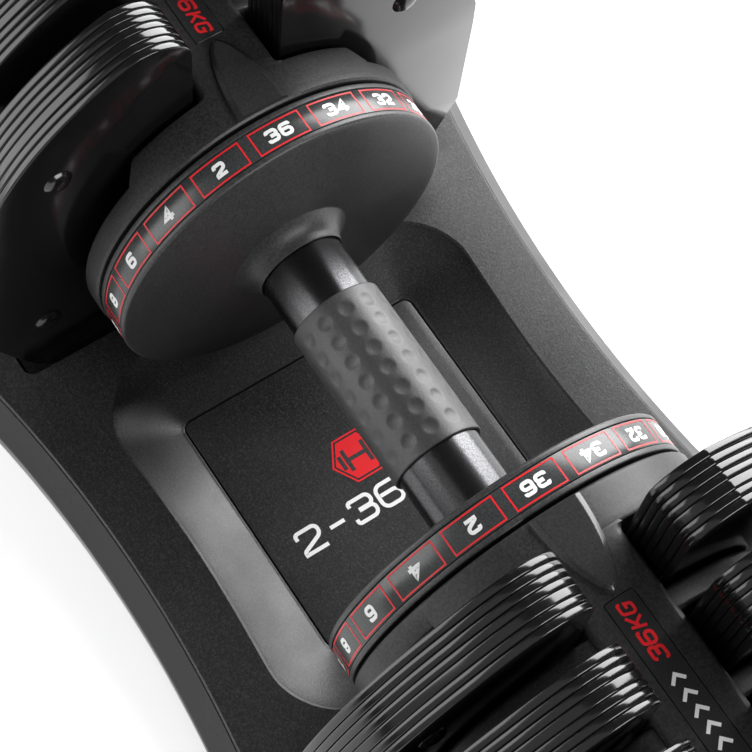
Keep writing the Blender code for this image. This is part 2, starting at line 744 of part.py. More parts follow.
def cradle_outline(grow, z):
    """The hourglass plan of the cradle, moved out along its own normals by grow."""
    side = []
    steps = 8
    for i in range(steps + 1):
        x = SIDE_END_X * (2 * i / steps - 1)
        slope = 2 * WAIST_BEND * x
        length = math.hypot(slope, 1)
        side.append((x - grow * slope / length, WAIST_HALF + WAIST_BEND * x * x + grow / length))
    slope = 2 * WAIST_BEND * SIDE_END_X
    length = math.hypot(slope, 1)
    end_y = WAIST_HALF + WAIST_BEND * SIDE_END_X**2
    centre = (SIDE_END_X + CORNER_R * slope / length, end_y - CORNER_R / length)
    tilt = math.degrees(math.atan(slope))
    corner = arc(centre, CORNER_R + grow, 90 + tilt, 0, 6)
    quarter = side + corner[1:]
    left_corner = [(-x, y) for x, y in reversed(corner[1:])]
    upper = left_corner + quarter
    lower = [(-x, -y) for x, y in upper]
    return [(x, y, z) for x, y in upper + lower]


def well_ring(side, grow, z):
    middle = side * (WELL_START + WELL_END) / 2
    half = (WELL_END - WELL_START) / 2
    return rounded_rectangle(half + grow, WELL_HALF + grow, 0.004 + grow, z, 3, (middle, 0.0))


def build_cradle():
    rings = [
        cradle_outline(SKIRT_OUT - 0.0010, BASE_BOTTOM),
        cradle_outline(SKIRT_OUT, SKIRT_Z),
        cradle_outline(0.0006, BASE_TOP - 0.0006),
        cradle_outline(-0.0010, BASE_TOP),
    ]
    base = mesh_object("cradle_base", lofted_mesh("base", rings), CRADLE, parent=None)

    inside = [
        cradle_outline(SKIRT_OUT - 0.0010 - BASE_SHELL, -0.01),
        cradle_outline(SKIRT_OUT - BASE_SHELL, SKIRT_Z - 0.0012),
        cradle_outline(-0.0035, BASE_TOP - BASE_SHELL),
    ]
    core = helper_object("core", lofted_mesh("core", inside), parent=None)
    floor = RECESS_FLOOR - PANEL_THICK - TOUCH_GAP

    def keep(name, mesh):
        """Leaves material in the underside for a hollow in the top."""
        combine(core, helper_object(name, mesh, parent=None), "DIFFERENCE")

    shell = BASE_SHELL
    under = [
        rounded_rectangle(RECESS_X + shell + 0.003, RECESS_Y + shell + 0.003, RECESS_R, BASE_TOP),
        rounded_rectangle(PANEL_HALF + 0.005, PANEL_HALF + 0.005, 0.008, RECESS_FLOOR - shell),
        rounded_rectangle(PANEL_HALF + 0.005, PANEL_HALF + 0.005, 0.008, floor - 0.0025),
    ]
    keep("recess_shell", lofted_mesh("recess_shell", under))
    for side in (1, -1):
        well = [well_ring(side, shell, BASE_TOP + 0.001), well_ring(side, shell, WELL_FLOOR - shell)]
        keep("well_shell", lofted_mesh("well_shell", well))
        low, high = span(side, RECESS_X - 0.0060 - shell, WELL_START + 0.001)
        trough = box_mesh("t", (low, -0.0400, TROUGH_FLOOR - shell), (high, 0.0400, BASE_TOP + 0.001))
        keep("trough_shell", trough)
    for x in (FOOT_X, -FOOT_X):
        for y in (FOOT_Y, -FOOT_Y):
            start = (x, y, FOOT_TALL + TOUCH_GAP)
            boss = rod_mesh("foot_boss", start, (x, y, BASE_TOP), FOOT_R + 0.002, 20)
            keep("foot_boss", boss)
    combine(base, core, "DIFFERENCE")

    def carve(name, mesh):
        combine(base, helper_object(name, mesh, parent=None), "DIFFERENCE")

    edge = 0.0008
    recess = [
        waisted_ring(RECESS_X + edge, RECESS_Y + edge, RECESS_R + edge, RECESS_DIP, BASE_TOP + 0.001),
        waisted_ring(RECESS_X, RECESS_Y, RECESS_R, RECESS_DIP, BASE_TOP - 0.0004),
        waisted_ring(PANEL_HALF + 0.0012, PANEL_HALF + 0.0012, PANEL_R + 0.0012, 0.0, RECESS_FLOOR),
        waisted_ring(PANEL_HALF + 0.0006, PANEL_HALF + 0.0006, PANEL_R + 0.0006, 0.0, floor),
    ]
    carve("recess", lofted_mesh("recess", recess))
    for side in (1, -1):
        well = [well_ring(side, 0.0006, BASE_TOP + 0.001), well_ring(side, 0, WELL_FLOOR)]
        carve("well", lofted_mesh("well", well))
        low, high = span(side, RECESS_X - 0.0060, WELL_START + 0.0020)
        trough = arc((0, AXIS_Z), AXIS_Z - TROUGH_FLOOR, -112, -68, 12)
        trough += [(0.0400, 0.0400), (-0.0400, 0.0400)]
        carve("trough", extruded_mesh("trough", trough, low, high))
    weld(base)

    panel = [
        rounded_rectangle(PANEL_HALF, PANEL_HALF, PANEL_R, RECESS_FLOOR - PANEL_THICK),
        rounded_rectangle(PANEL_HALF, PANEL_HALF, PANEL_R, RECESS_FLOOR),
    ]
    mesh_object("cradle_panel", lofted_mesh("panel", panel), PANEL, parent=None)
    for i, (x, y) in enumerate(((1, 1), (-1, 1), (-1, -1), (1, -1))):
        bottom = (x * FOOT_X, y * FOOT_Y, 0.0)
        top = (x * FOOT_X, y * FOOT_Y, FOOT_TALL)
        foot = rod_mesh("foot", bottom, top, FOOT_R, 20)
        mesh_object(f"rubber_foot_{i + 1}", foot, RUBBER, parent=None)


def build_rack(side, word):
    """A comb in each well: a floor that the plates stand on, and ribs that keep them apart."""
    gap = TOUCH_GAP
    floor = WELL_FLOOR + gap
    stand = AXIS_Z + PLATE_FLOOR - gap
    start = WELL_START + 0.0012
    low, high = span(side, start, WELL_END - 0.0012)
    half = WELL_HALF - 0.0020
    mesh = box_mesh("rack", (low, -half, floor), (high, half, stand))
    rack = mesh_object(word + "_plate_rack", mesh, CRADLE, parent=None)
    for kg, inner, outer in PLACES[:-1]:
        thick = PLATE_CLEAR_OUT + WALL + PLATE_CLEAR_IN - 0.0016
        low, high = span(side, outer + 0.0008, outer + 0.0008 + thick)
        rib = box_mesh("rib", (low, -0.0800, stand - 0.001), (high, 0.0800, BASE_TOP - 0.0050))
        combine(rack, helper_object("rib", rib, parent=None), "UNION")
    weld(rack)


build_handle()
for SIDE, WORD in ((-1, "left"), (1, "right")):
    build_dial(SIDE, WORD)
    build_housing(SIDE, WORD)
    build_bushes(SIDE, WORD)
    for INDEX in range(len(PLATE_KG)):
        build_disc(SIDE, WORD, INDEX, PLACES[INDEX][2])
        build_plate(SIDE, WORD, INDEX)
    build_lock(SIDE, WORD)
    build_rack(SIDE, WORD)
build_cradle()
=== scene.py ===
"""Looks of the adjustable dumbbell in its cradle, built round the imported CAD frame. Metres, +Z up."""

import math
from math import cos, degrees, hypot, radians, sin, sqrt

import bmesh
import bpy
import numpy as np
from mathutils import Matrix, Vector


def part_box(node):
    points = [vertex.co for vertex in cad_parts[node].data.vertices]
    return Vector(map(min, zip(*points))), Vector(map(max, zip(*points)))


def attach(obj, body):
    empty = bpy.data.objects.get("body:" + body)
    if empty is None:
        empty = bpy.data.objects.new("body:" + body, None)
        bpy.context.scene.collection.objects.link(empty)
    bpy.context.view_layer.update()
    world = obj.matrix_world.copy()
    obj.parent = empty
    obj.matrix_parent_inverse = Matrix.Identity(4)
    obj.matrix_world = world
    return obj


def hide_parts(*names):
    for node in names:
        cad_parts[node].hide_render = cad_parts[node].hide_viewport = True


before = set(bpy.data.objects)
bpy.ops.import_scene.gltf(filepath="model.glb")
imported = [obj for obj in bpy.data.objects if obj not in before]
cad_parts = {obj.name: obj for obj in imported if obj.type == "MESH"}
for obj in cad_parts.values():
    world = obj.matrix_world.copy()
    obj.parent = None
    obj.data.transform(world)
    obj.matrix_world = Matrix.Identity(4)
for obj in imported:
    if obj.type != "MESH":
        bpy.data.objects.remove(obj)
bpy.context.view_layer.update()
SCENE = bpy.context.scene

# Places that come from the CAD
DIAL_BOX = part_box("right_dial")
AXIS = (DIAL_BOX[0].z + DIAL_BOX[1].z) / 2
DIAL_BACK = DIAL_BOX[1].x
DIAL_R = DIAL_BOX[1].y
BAND_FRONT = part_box("right_number_band")[0].x
BAND_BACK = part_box("right_number_band")[1].x
BAND_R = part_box("right_number_band")[1].y
TUBE_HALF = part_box("handle_tube")[1].x
TUBE_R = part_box("handle_tube")[1].y
GRIP_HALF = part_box("grip_sleeve")[1].x
GRIP_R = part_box("grip_sleeve")[1].y
SHAFT_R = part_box("selector_shaft")[1].y
FLANGE_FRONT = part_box("right_head_housing")[0].x
HEAD_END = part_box("right_head_housing")[1].x
LABEL_LOW, LABEL_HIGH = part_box("right_spine_label")
CAP_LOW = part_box("right_end_cap")[0]
PANEL_LOW, PANEL_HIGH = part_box("cradle_panel")
SETTING = radians(20)  # from one weight to the next
FIT_GAP = 0.0003


# ---- Shapes as (points, faces) ----


class Shape:
    """Several shapes collected into one mesh."""

    def __init__(self):
        self.points = []
        self.faces = []

    def add(self, shape):
        start = len(self.points)
        self.points += shape[0]
        self.faces += [tuple(start + i for i in face) for face in shape[1]]
        return self


def arc(centre, radius, start, end, count):
    """Points on an arc in degrees, both ends included."""
    turned = [radians(start + (end - start) * i / count) for i in range(count + 1)]
    return [(centre[0] + radius * cos(a), centre[1] + radius * sin(a)) for a in turned]


def rounded(outline, steps=4, closed=True):
    """Rounds the corners of a flat outline whose points are (a, b) or (a, b, radius)."""
    result = []
    count = len(outline)
    for i, point in enumerate(outline):
        corner = np.array(point[:2], float)
        radius = point[2] if len(point) > 2 else 0.0
        if radius <= 0 or (not closed and i in (0, count - 1)):
            result.append(tuple(corner))
            continue
        before = np.array(outline[i - 1][:2]) - corner
        after = np.array(outline[(i + 1) % count][:2]) - corner
        long_before, long_after = np.linalg.norm(before), np.linalg.norm(after)
        before /= long_before
        after /= long_after
        half = math.acos(float(np.clip(before @ after, -1, 1))) / 2
        if half > 1.56:
            result.append(tuple(corner))
            continue
        reach = min(radius / math.tan(half), 0.49 * long_before, 0.49 * long_after)
        radius = reach * math.tan(half)
        middle = before + after
        centre = corner + middle / np.linalg.norm(middle) * (radius / sin(half))
        first = corner + before * reach - centre
        last = corner + after * reach - centre
        sweep = math.pi - 2 * half
        for k in range(steps + 1):
            t = k / steps
            spoke = sin((1 - t) * sweep) * first + sin(t * sweep) * last
            result.append(tuple(centre + spoke / sin(sweep)))
    return result


def dense(path, step, closed):
    """Adds points along a path so that none are further apart than step."""
    result = []
    count = len(path)
    for i in range(count if closed else count - 1):
        a = np.array(path[i])
        b = np.array(path[(i + 1) % count])
        parts = max(1, math.ceil(np.linalg.norm(b - a) / step))
        result += [tuple(a + (b - a) * k / parts) for k in range(parts)]
    if not closed:
        result.append(tuple(path[-1]))
    return result


def smooth_curve(points, per_span):
    """A Catmull-Rom curve through points."""
    p = [np.array(points[0])] + [np.array(q) for q in points] + [np.array(points[-1])]
    result = []
    for i in range(1, len(p) - 2):
        for k in range(per_span):
            t = k / per_span
            a = 2 * p[i]
            b = (p[i + 1] - p[i - 1]) * t
            c = (2 * p[i - 1] - 5 * p[i] + 4 * p[i + 1] - p[i + 2]) * t * t
            d = (3 * p[i] - p[i - 1] - 3 * p[i + 1] + p[i + 2]) * t**3
            result.append(tuple((a + b + c + d) / 2))
    result.append(tuple(p[-1]))
    return result


def offset(outline, inset):
    """The outline moved inwards along its own normals."""
    p = np.array(outline)
    along = np.roll(p, -1, 0) - p
    along /= np.linalg.norm(along, axis=1)[:, None]
    area = np.sum(p[:, 0] * np.roll(p[:, 1], -1) - np.roll(p[:, 0], -1) * p[:, 1])
    out = np.stack([along[:, 1], -along[:, 0]], 1) * np.sign(area)
    middle = out + np.roll(out, 1, 0)
    middle /= np.linalg.norm(middle, axis=1)[:, None]
    reach = 1 / np.maximum(0.4, np.sum(middle * out, 1))
    return p - middle * (reach * inset)[:, None]


def loft(rings):
    """Joins rings of points and closes the first and the last."""
    size = len(rings[0])
    points = [tuple(point) for ring in rings for point in ring]
    faces = []
    for k in range(len(rings) - 1):
        for i in range(size):
            j = (i + 1) % size
            faces.append((k * size + i, k * size + j, (k + 1) * size + j, (k + 1) * size + i))
    faces.append(tuple(range(size)))
    faces.append(tuple(range((len(rings) - 1) * size, len(rings) * size)))
    return points, faces


def raised(x, ring):
    """A ring of (y, z) about the handle's axis, put at x."""
    return [(x, y, z + AXIS) for y, z in ring]


def prism(outline, stations):
    """A flat (y, z) outline along X. Stations are (x, inset)."""
    return loft([raised(x, offset(outline, inset) if inset else outline) for x, inset in stations])


def lathe(profile, steps, side=1, centre=(0.0, None), vary=None):
    """A closed (x, radius) outline turned about an axis along X. vary(x, radius, angle) changes a radius."""
    size = len(profile)
    high = AXIS if centre[1] is None else centre[1]
    points = []
    faces = []
    for i in range(steps):
        angle = 2 * math.pi * i / steps
        for x, radius in profile:
            if vary:
                radius = vary(x, radius, angle)
            points.append((side * x, centre[0] + radius * sin(angle), high + radius * cos(angle)))
        k = (i + 1) % steps
        for j in range(size):
            n = (j + 1) % size
            faces.append((i * size + j, i * size + n, k * size + n, k * size + j))
    return points, faces


def ribbon(path, half, low, high, place, closed):
    """A flat band along a (u, v) path, from depth low to high. place(u, v, w) puts it in the world."""
    p = np.array(path)
    along = (np.roll(p, -1, 0) if closed else np.vstack([p[1:], 2 * p[-1] - p[-2]])) - p
    along /= np.linalg.norm(along, axis=1)[:, None]
    normal = np.stack([-along[:, 1], along[:, 0]], 1)
    before = np.roll(normal, 1, 0)
    if not closed:
        before[0] = normal[0]
    middle = before + normal
    middle /= np.linalg.norm(middle, axis=1)[:, None]
    reach = half / np.maximum(0.5, np.sum(middle * normal, 1))[:, None]
    left = p + middle * reach
    right = p - middle * reach
    points = []
    for a, b in zip(left, right):
        points += [place(*a, high), place(*b, high), place(*b, low), place(*a, low)]
    faces = []
    count = len(p)
    for i in range(count if closed else count - 1):
        j = (i + 1) % count
        for k in range(4):
            n = (k + 1) % 4
            faces.append((4 * i + k, 4 * i + n, 4 * j + n, 4 * j + k))
    if not closed:
        faces += [(0, 1, 2, 3), tuple(4 * (count - 1) + k for k in range(4))]
    return points, faces


def add_object(name, shape, finish, sharp=35.0):
    points, faces = (shape.points, shape.faces) if isinstance(shape, Shape) else shape
    mesh = bpy.data.meshes.new(name)
    mesh.from_pydata(points, [], faces)
    shell = bmesh.new()
    shell.from_mesh(mesh)
    bmesh.ops.remove_doubles(shell, verts=shell.verts, dist=1e-7)
    bmesh.ops.triangulate(shell, faces=[face for face in shell.faces if len(face.verts) > 4])
    bmesh.ops.recalc_face_normals(shell, faces=shell.faces)
    shell.to_mesh(mesh)
    shell.free()
    if finish:
        mesh.materials.append(finish)
    mesh.shade_smooth()
    mesh.set_sharp_from_angle(angle=radians(sharp))
    made = bpy.data.objects.new(name, mesh)
    SCENE.collection.objects.link(made)
    return made


def cut(target, shape, sharp=35.0):
    """Takes a shape away from an object."""
    tool = add_object("tool", shape, None)
    change = target.modifiers.new("cut", "BOOLEAN")
    change.operation = "DIFFERENCE"
    change.solver = "EXACT"
    change.object = tool
    bpy.context.view_layer.update()
    graph = bpy.context.evaluated_depsgraph_get()
    mesh = bpy.data.meshes.new_from_object(target.evaluated_get(graph), depsgraph=graph)
    target.modifiers.clear()
    finish = list(target.data.materials)
    target.data = mesh
    mesh.materials.clear()
    for each in finish:
        mesh.materials.append(each)
    bpy.data.objects.remove(tool)
    mesh.shade_smooth()
    mesh.set_sharp_from_angle(angle=radians(sharp))


def piece(name, shape, finish, body, nodes=(), sharp=35.0):
    made = add_object(name, shape, finish, sharp)
    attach(made, body)
    if nodes:
        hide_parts(*nodes)
    return made


# ---- Materials ----


def set_inputs(node, values):
    for name, value in values.items():
        node.inputs[name].default_value = value


def surface(name, colour, rough, metallic=0.0, grain=2200.0, depth=0.00004, strength=0.5, spread=0.25,
            rough_spread=0.08, coat=0.0, specular=0.5, specks=0.0, ramp=0.2, turned=0.0):
    """A moulded, painted or plated surface: fine grain in colour and relief, and broad patches in gloss."""
    made = bpy.data.materials.new(name)
    made.use_nodes = True
    nodes = made.node_tree.nodes
    links = made.node_tree.links
    shader = nodes["Principled BSDF"]
    set_inputs(shader, {"Metallic": metallic, "Specular IOR Level": specular, "Coat Weight": coat,
                        "Coat Roughness": 0.12})
    if turned:
        around = nodes.new("ShaderNodeTangent")
        around.direction_type = "RADIAL"
        around.axis = "X"
        links.new(around.outputs["Tangent"], shader.inputs["Tangent"])
        set_inputs(shader, {"Anisotropic": turned, "Anisotropic Rotation": 0.25})
    place = nodes.new("ShaderNodeTexCoord")
    fine = nodes.new("ShaderNodeTexNoise")
    set_inputs(fine, {"Scale": grain, "Detail": 3.0, "Roughness": 0.65})
    links.new(place.outputs["Object"], fine.inputs["Vector"])
    broad = nodes.new("ShaderNodeTexNoise")
    set_inputs(broad, {"Scale": 26.0, "Detail": 4.0})
    links.new(place.outputs["Object"], broad.inputs["Vector"])
    shade = nodes.new("ShaderNodeValToRGB")
    shade.color_ramp.elements[0].position = 0.5 - ramp
    shade.color_ramp.elements[1].position = 0.5 + ramp
    shade.color_ramp.elements[0].color = (*[c * (1 - spread) for c in colour], 1)
    shade.color_ramp.elements[1].color = (*[c * (1 + spread) for c in colour], 1)
    if specks:
        bright = shade.color_ramp.elements.new(0.56 + ramp)
        bright.color = (*[c * (1 + spread) + specks for c in colour], 1)
    links.new(fine.outputs["Fac"], shade.inputs["Fac"])
    links.new(shade.outputs["Color"], shader.inputs["Base Color"])
    gloss = nodes.new("ShaderNodeMapRange")
    set_inputs(gloss, {"From Min": 0.3, "From Max": 0.7, "To Min": max(0.02, rough - rough_spread),
                       "To Max": rough + rough_spread})
    links.new(broad.outputs["Fac"], gloss.inputs["Value"])
    links.new(gloss.outputs["Result"], shader.inputs["Roughness"])
    bump = nodes.new("ShaderNodeBump")
    set_inputs(bump, {"Strength": strength, "Distance": depth})
    links.new(fine.outputs["Fac"], bump.inputs["Height"])
    links.new(bump.outputs["Normal"], shader.inputs["Normal"])
    return made


PLASTIC = surface("charcoal_plastic", (0.027, 0.027, 0.028), 0.42, grain=1000, depth=0.00006, strength=0.6,
                  spread=0.4, ramp=0.1)
SATIN = surface("satin_plastic", (0.027, 0.027, 0.028), 0.22, grain=1500, depth=0.00003, strength=0.4,
                spread=0.3, rough_spread=0.03)
HOUSING = surface("housing_plastic", (0.021, 0.021, 0.022), 0.44, grain=1000, depth=0.00006,
                  strength=0.6, spread=0.4, ramp=0.1, specular=0.36)
CRADLE = surface("cradle_grain", (0.027, 0.027, 0.028), 0.37, grain=1300, depth=0.00009, strength=0.9,
                 spread=0.45, specks=0.02, ramp=0.1, specular=0.40)
SKIRT = surface("cradle_skirt", (0.018, 0.018, 0.019), 0.30, grain=2200, strength=0.3, specular=0.3)
PANEL = surface("panel_grain", (0.021, 0.021, 0.022), 0.42, grain=1200, depth=0.00009, strength=0.9,
                spread=0.5, specks=0.025, ramp=0.1)
PAINT = surface("black_painted_steel", (0.0045, 0.0045, 0.005), 0.16, grain=700, depth=0.00001,
                strength=0.2, spread=0.3, rough_spread=0.04, coat=0.15)
CHROME = surface("smoked_chrome", (0.085, 0.085, 0.088), 0.26, metallic=1.0, grain=1600, depth=0.000014,
                 strength=0.3, rough_spread=0.03, ramp=0.12, turned=0.5)
RUBBER = surface("grip_rubber", (0.040, 0.040, 0.041), 0.42, grain=1300, depth=0.0001, strength=0.8,
                 spread=0.35)
FOOT = surface("foot_rubber", (0.020, 0.020, 0.021), 0.7, grain=1800, depth=0.00006)
BAND = surface("number_band", (0.036, 0.038, 0.039), 0.24, grain=1500, depth=0.00002, strength=0.4,
               spread=0.4, specks=0.03, rough_spread=0.03)
LABEL = surface("label_foil", (0.014, 0.014, 0.015), 0.4, grain=2400, depth=0.00004, strength=0.6,
                spread=0.5, specks=0.08)
RED = surface("red_ink", (0.70, 0.016, 0.022), 0.34, grain=3000, depth=0.00002, spread=0.12, specular=0.4)
WHITE = surface("white_ink", (0.80, 0.80, 0.80), 0.45, grain=3000, depth=0.00002, spread=0.06)
STEEL = surface("zinc_steel", (0.50, 0.51, 0.53), 0.34, metallic=1.0, grain=1200, depth=0.00002)
NYLON = surface("nylon", (0.52, 0.51, 0.47), 0.5, grain=1500, depth=0.00003, spread=0.08)
BRONZE = surface("bush_bronze", (0.55, 0.38, 0.18), 0.35, metallic=1.0, grain=1500, depth=0.00002)
SEAM = surface("parting_line", (0.022, 0.022, 0.023), 0.5, grain=2600, strength=0.3)


# ---- Numerals and letters as strokes ----


def glyph(sign):
    """The strokes of one sign, as (points with corner radii, closed), on a unit square."""
    r = 0.30
    box = [(0, 0, r), (1, 0, r), (1, 1, r), (0, 1, r)]
    return {
        "0": [(box, True)],
        "1": [([(0.12, 0.74), (0.62, 1.0), (0.62, 0)], False)],
        "2": [([(0, 0.72), (0, 1, r), (1, 1, r), (1, 0.56, r), (0.02, 0.16, 0.1), (0.02, 0), (1.05, 0)],
               False)],
        "3": [([(0, 0.78), (0, 1, r), (1, 1, r), (1, 0.53, 0.2), (0.3, 0.53)], False),
              ([(0.3, 0.49), (1, 0.49, 0.2), (1, 0, r), (0, 0, r), (0, 0.22)], False)],
        "4": [([(0.70, -0.08), (0.70, 1.0), (-0.06, 0.26), (1.12, 0.26)], False)],
        "6": [([(1, 0.80), (1, 1, r), (0, 1, r), (0, 0, r), (1, 0, r), (1, 0.56, r), (0.1, 0.56)], False)],
        "8": [([(0, 0, r), (1, 0, r), (1, 0.50, 0.2), (0, 0.50, 0.2)], True),
              ([(0.06, 0.52, 0.2), (0.94, 0.52, 0.2), (0.94, 1, r), (0.06, 1, r)], True)],
        "K": [([(0, -0.05), (0, 1.05)], False), ([(0.10, 0.44), (1, 1.05)], False),
              ([(0.30, 0.60), (1.05, -0.05)], False)],
        "-": [([(0.15, 0.5), (0.85, 0.5)], False)],
        "G": [([(1, 0.80), (1, 1, r), (0, 1, r), (0, 0, r), (1, 0, r), (1, 0.48), (0.5, 0.48)], False)],
    }[sign]


def write(shape, text, wide, tall, half, gap, low, high, place, slant=0.0):
    """Adds a centred line of signs to shape. place maps (u, v, w), with u along the line and v up."""
    pitch = wide + 2 * half + gap
    start = -(len(text) - 1) * pitch / 2
    for n, sign in enumerate(text):
        if sign == " ":
            continue
        for k, (points, closed) in enumerate(glyph(sign)):
            scaled = []
            for point in points:
                u = (point[0] - 0.5) * wide
                v = (point[1] - 0.5) * tall
                scaled.append((u + slant * v, v, *[c * min(wide, tall) for c in point[2:]]))
            path = dense(rounded(scaled, 5, closed), 0.0008, closed)
            moved = [(u + start + n * pitch, v) for u, v in path]
            # Strokes of one sign that cross differ a little in height, so that they don't share a plane.
            shape.add(ribbon(moved, half, low, high + 0.000006 * k, place, closed))


# ---- Handle ----

GRIP_EDGE = 0.0014
GRIP_ROWS = 12
ROW_TURN = 2 * math.pi / GRIP_ROWS
ROW_START = radians(-3.7)
DIMPLE_PITCH = 0.00933
DIMPLES_EACH_WAY = 3
DIMPLE_R = 0.0034
DIMPLE_DEPTH = 0.00055
BORE_GAP = 0.0005  # round the shaft, inside the tube


def grip_radius(x, radius, angle):
    """Leaves shallow round dimples in the sleeve's outside."""
    if radius < GRIP_R - 0.0006:
        return radius
    turn = (angle - ROW_START) / ROW_TURN
    across = (turn - round(turn)) * ROW_TURN * GRIP_R
    along = x / DIMPLE_PITCH
    if abs(round(along)) <= DIMPLES_EACH_WAY:
        away = hypot(across, (along - round(along)) * DIMPLE_PITCH) / DIMPLE_R
        if away < 1:
            return radius - DIMPLE_DEPTH * (1 - away**2.4) ** 1.5
    return radius


def build_grip():
    inner = TUBE_R + FIT_GAP
    corners = rounded([(GRIP_HALF, inner), (GRIP_HALF, GRIP_R, GRIP_EDGE), (-GRIP_HALF, GRIP_R, GRIP_EDGE),
                       (-GRIP_HALF, inner)], 5)
    profile = []
    parts = 136  # along the outside, so that the dimples come out round
    for i, point in enumerate(corners):
        profile.append(point)
        following = corners[(i + 1) % len(corners)]
        if point[0] > 0 > following[0] and point[1] > GRIP_R - 1e-5:
            for k in range(1, parts):
                t = k / parts
                profile.append((point[0] + (following[0] - point[0]) * t, GRIP_R))
    shape = lathe(profile, 264, vary=grip_radius)
    piece("grip_dimpled", shape, RUBBER, "handle", ["grip_sleeve"], 50)


def build_grip_line():
    """The sleeve's fine parting line, between two rows of dimples."""
    angle = ROW_START - ROW_TURN / 2

    def on_grip(u, v, w):
        turn = angle + v / GRIP_R
        return (u, (GRIP_R + w) * sin(turn), AXIS + (GRIP_R + w) * cos(turn))

    reach = GRIP_HALF - 0.0015
    path = dense([(-reach, 0.0), (reach, 0.0)], 0.004, False)
    line = ribbon(path, 0.00016, -0.0002, -0.00001, on_grip, False)
    piece("grip_parting_line", line, FOOT, "handle")


def build_tube():
    bore = SHAFT_R + BORE_GAP
    edge = 0.0005
    tube = rounded([(-TUBE_HALF, bore), (TUBE_HALF, bore), (TUBE_HALF, TUBE_R, edge),
                    (-TUBE_HALF, TUBE_R, edge)], 3)
    piece("handle_tube_plated", lathe(tube, 144), CHROME, "handle", ["handle_tube"])


# ---- Dials ----

HUB_LIP = [(0.0592, 0.0183), (0.0590, 0.0185), (0.0591, 0.0187)]
HUB_CONE = [(0.0594, 0.01885), (0.0618, 0.0196), (0.0638, 0.0208), (0.0654, 0.0224), (0.0665, 0.0240),
            (0.0673, 0.0254)]
FACE = [(0.0674, 0.0256), (0.0680, 0.0340), (0.0688, 0.0450), (0.0696, 0.0560), (0.0704, 0.0660),
        (0.0708, 0.0700)]
RIM_FRONT = 0.0712
BAND_GROOVE = 0.0011
POCKET_FLOOR = 0.0758
POCKET_R = 0.0665
LOCK_RING_START = 0.0812
LOCK_RING_R = 0.0555
LOCK_NOTCH_R = 0.0604
LOCK_NOTCH_HALF = 0.0031
LOCK_NOTCH_MIDDLE = 0.0580
HUB_R = 0.0250
HUB_BACK = 0.0830
HUB_BORE_R = 0.0115
SOCKET_END = 0.0670
SOCKET_START = 0.0594
SOCKET_R = 0.0181
SETTINGS = 18
FULL_WEIGHT = 36
FRAME_MIDDLE = 0.0793
FRAME_HALF = 0.0048
FRAME_TURN = radians(8.18)
SEAM_TURN = radians(11.0)
SEAM_SECTION = ((0.00011, 0.00004), (-0.00011, 0.00004), (-0.00011, -0.0002), (0.00011, -0.0002))
CAP_STUB_R = 0.0108


def dial_face():
    """The visible section of a dial from the tube to the rim, as (x, radius)."""
    return HUB_LIP + smooth_curve(HUB_CONE, 6) + smooth_curve(FACE, 5)


def build_dial_body(side, word):
    groove = BAND_R - BAND_GROOVE
    before_band = BAND_FRONT - FIT_GAP
    after_band = BAND_BACK + FIT_GAP
    rim = rounded([FACE[-1], (RIM_FRONT, DIAL_R, 0.0014), (before_band, DIAL_R, 0.00025),
                   (before_band, groove), (after_band, groove), (after_band, DIAL_R, 0.00025),
                   (DIAL_BACK, DIAL_R, 0.0007), (DIAL_BACK, LOCK_RING_R), (LOCK_RING_START, LOCK_RING_R),
                   (LOCK_RING_START, POCKET_R), (POCKET_FLOOR, POCKET_R), (POCKET_FLOOR, HUB_R),
                   (HUB_BACK, HUB_R), (HUB_BACK, HUB_BORE_R), (SOCKET_END, HUB_BORE_R),
                   (SOCKET_END, SOCKET_R), (SOCKET_START, SOCKET_R)], 5, closed=False)

    def notched(x, radius, angle):
        """A notch for the lock pin's tooth at every setting."""
        off = abs(angle / SETTING - round(angle / SETTING)) * SETTING
        if abs(radius - LOCK_RING_R) < 1e-6 and off * LOCK_NOTCH_MIDDLE < LOCK_NOTCH_HALF:
            return LOCK_NOTCH_R
        return radius

    shape = lathe(dial_face() + rim[1:], 360, side, vary=notched)
    piece(word + "_dial_body", shape, PLASTIC, "handle", [word + "_dial"])


def build_number_band(side, word):
    inner = BAND_R - BAND_GROOVE + 0.0002
    edge = 0.0002
    band = rounded([(BAND_FRONT, inner), (BAND_FRONT, BAND_R, edge), (BAND_BACK, BAND_R, edge),
                    (BAND_BACK, inner)], 2)
    piece(word + "_dial_band", lathe(band, 360, side), BAND, "handle",
          [word + "_number_band"])
    frames = Shape()
    digits = Shape()
    reach = FRAME_TURN * BAND_R
    corners = [(-reach, -FRAME_HALF), (reach, -FRAME_HALF), (reach, FRAME_HALF), (-reach, FRAME_HALF)]
    for k in range(SETTINGS):

        def on_band(u, v, w, centre=k * SETTING):
            turn = centre + side * u / BAND_R
            radius = BAND_R + w
            return (side * (FRAME_MIDDLE + v), -radius * sin(turn), AXIS + radius * cos(turn))

        frames.add(ribbon(dense(corners, 0.0016, True), 0.00030, -0.0001, 0.00007, on_band, True))
        number = str(2 * k if k else FULL_WEIGHT)
        write(digits, number, 0.0037, 0.0043, 0.00068, 0.0006, -0.0001, 0.00009, on_band)
    piece(word + "_dial_boxes", frames, RED, "handle")
    piece(word + "_dial_numerals", digits, WHITE, "handle")


def build_dial_line(side, word):
    """The mould's parting line, from the rim over the face and the hub cone."""
    curve = [point for point in dial_face() if point[1] < FACE[-1][1] - 0.0003]
    rings = []
    for x, radius in curve[:-1]:
        ring = []
        for v, w in SEAM_SECTION:
            turn = SEAM_TURN + v / radius
            ring.append((side * (x - w), -radius * sin(turn), AXIS + radius * cos(turn)))
        rings.append(ring)
    piece(word + "_dial_parting_line", loft(rings), SEAM, "handle")


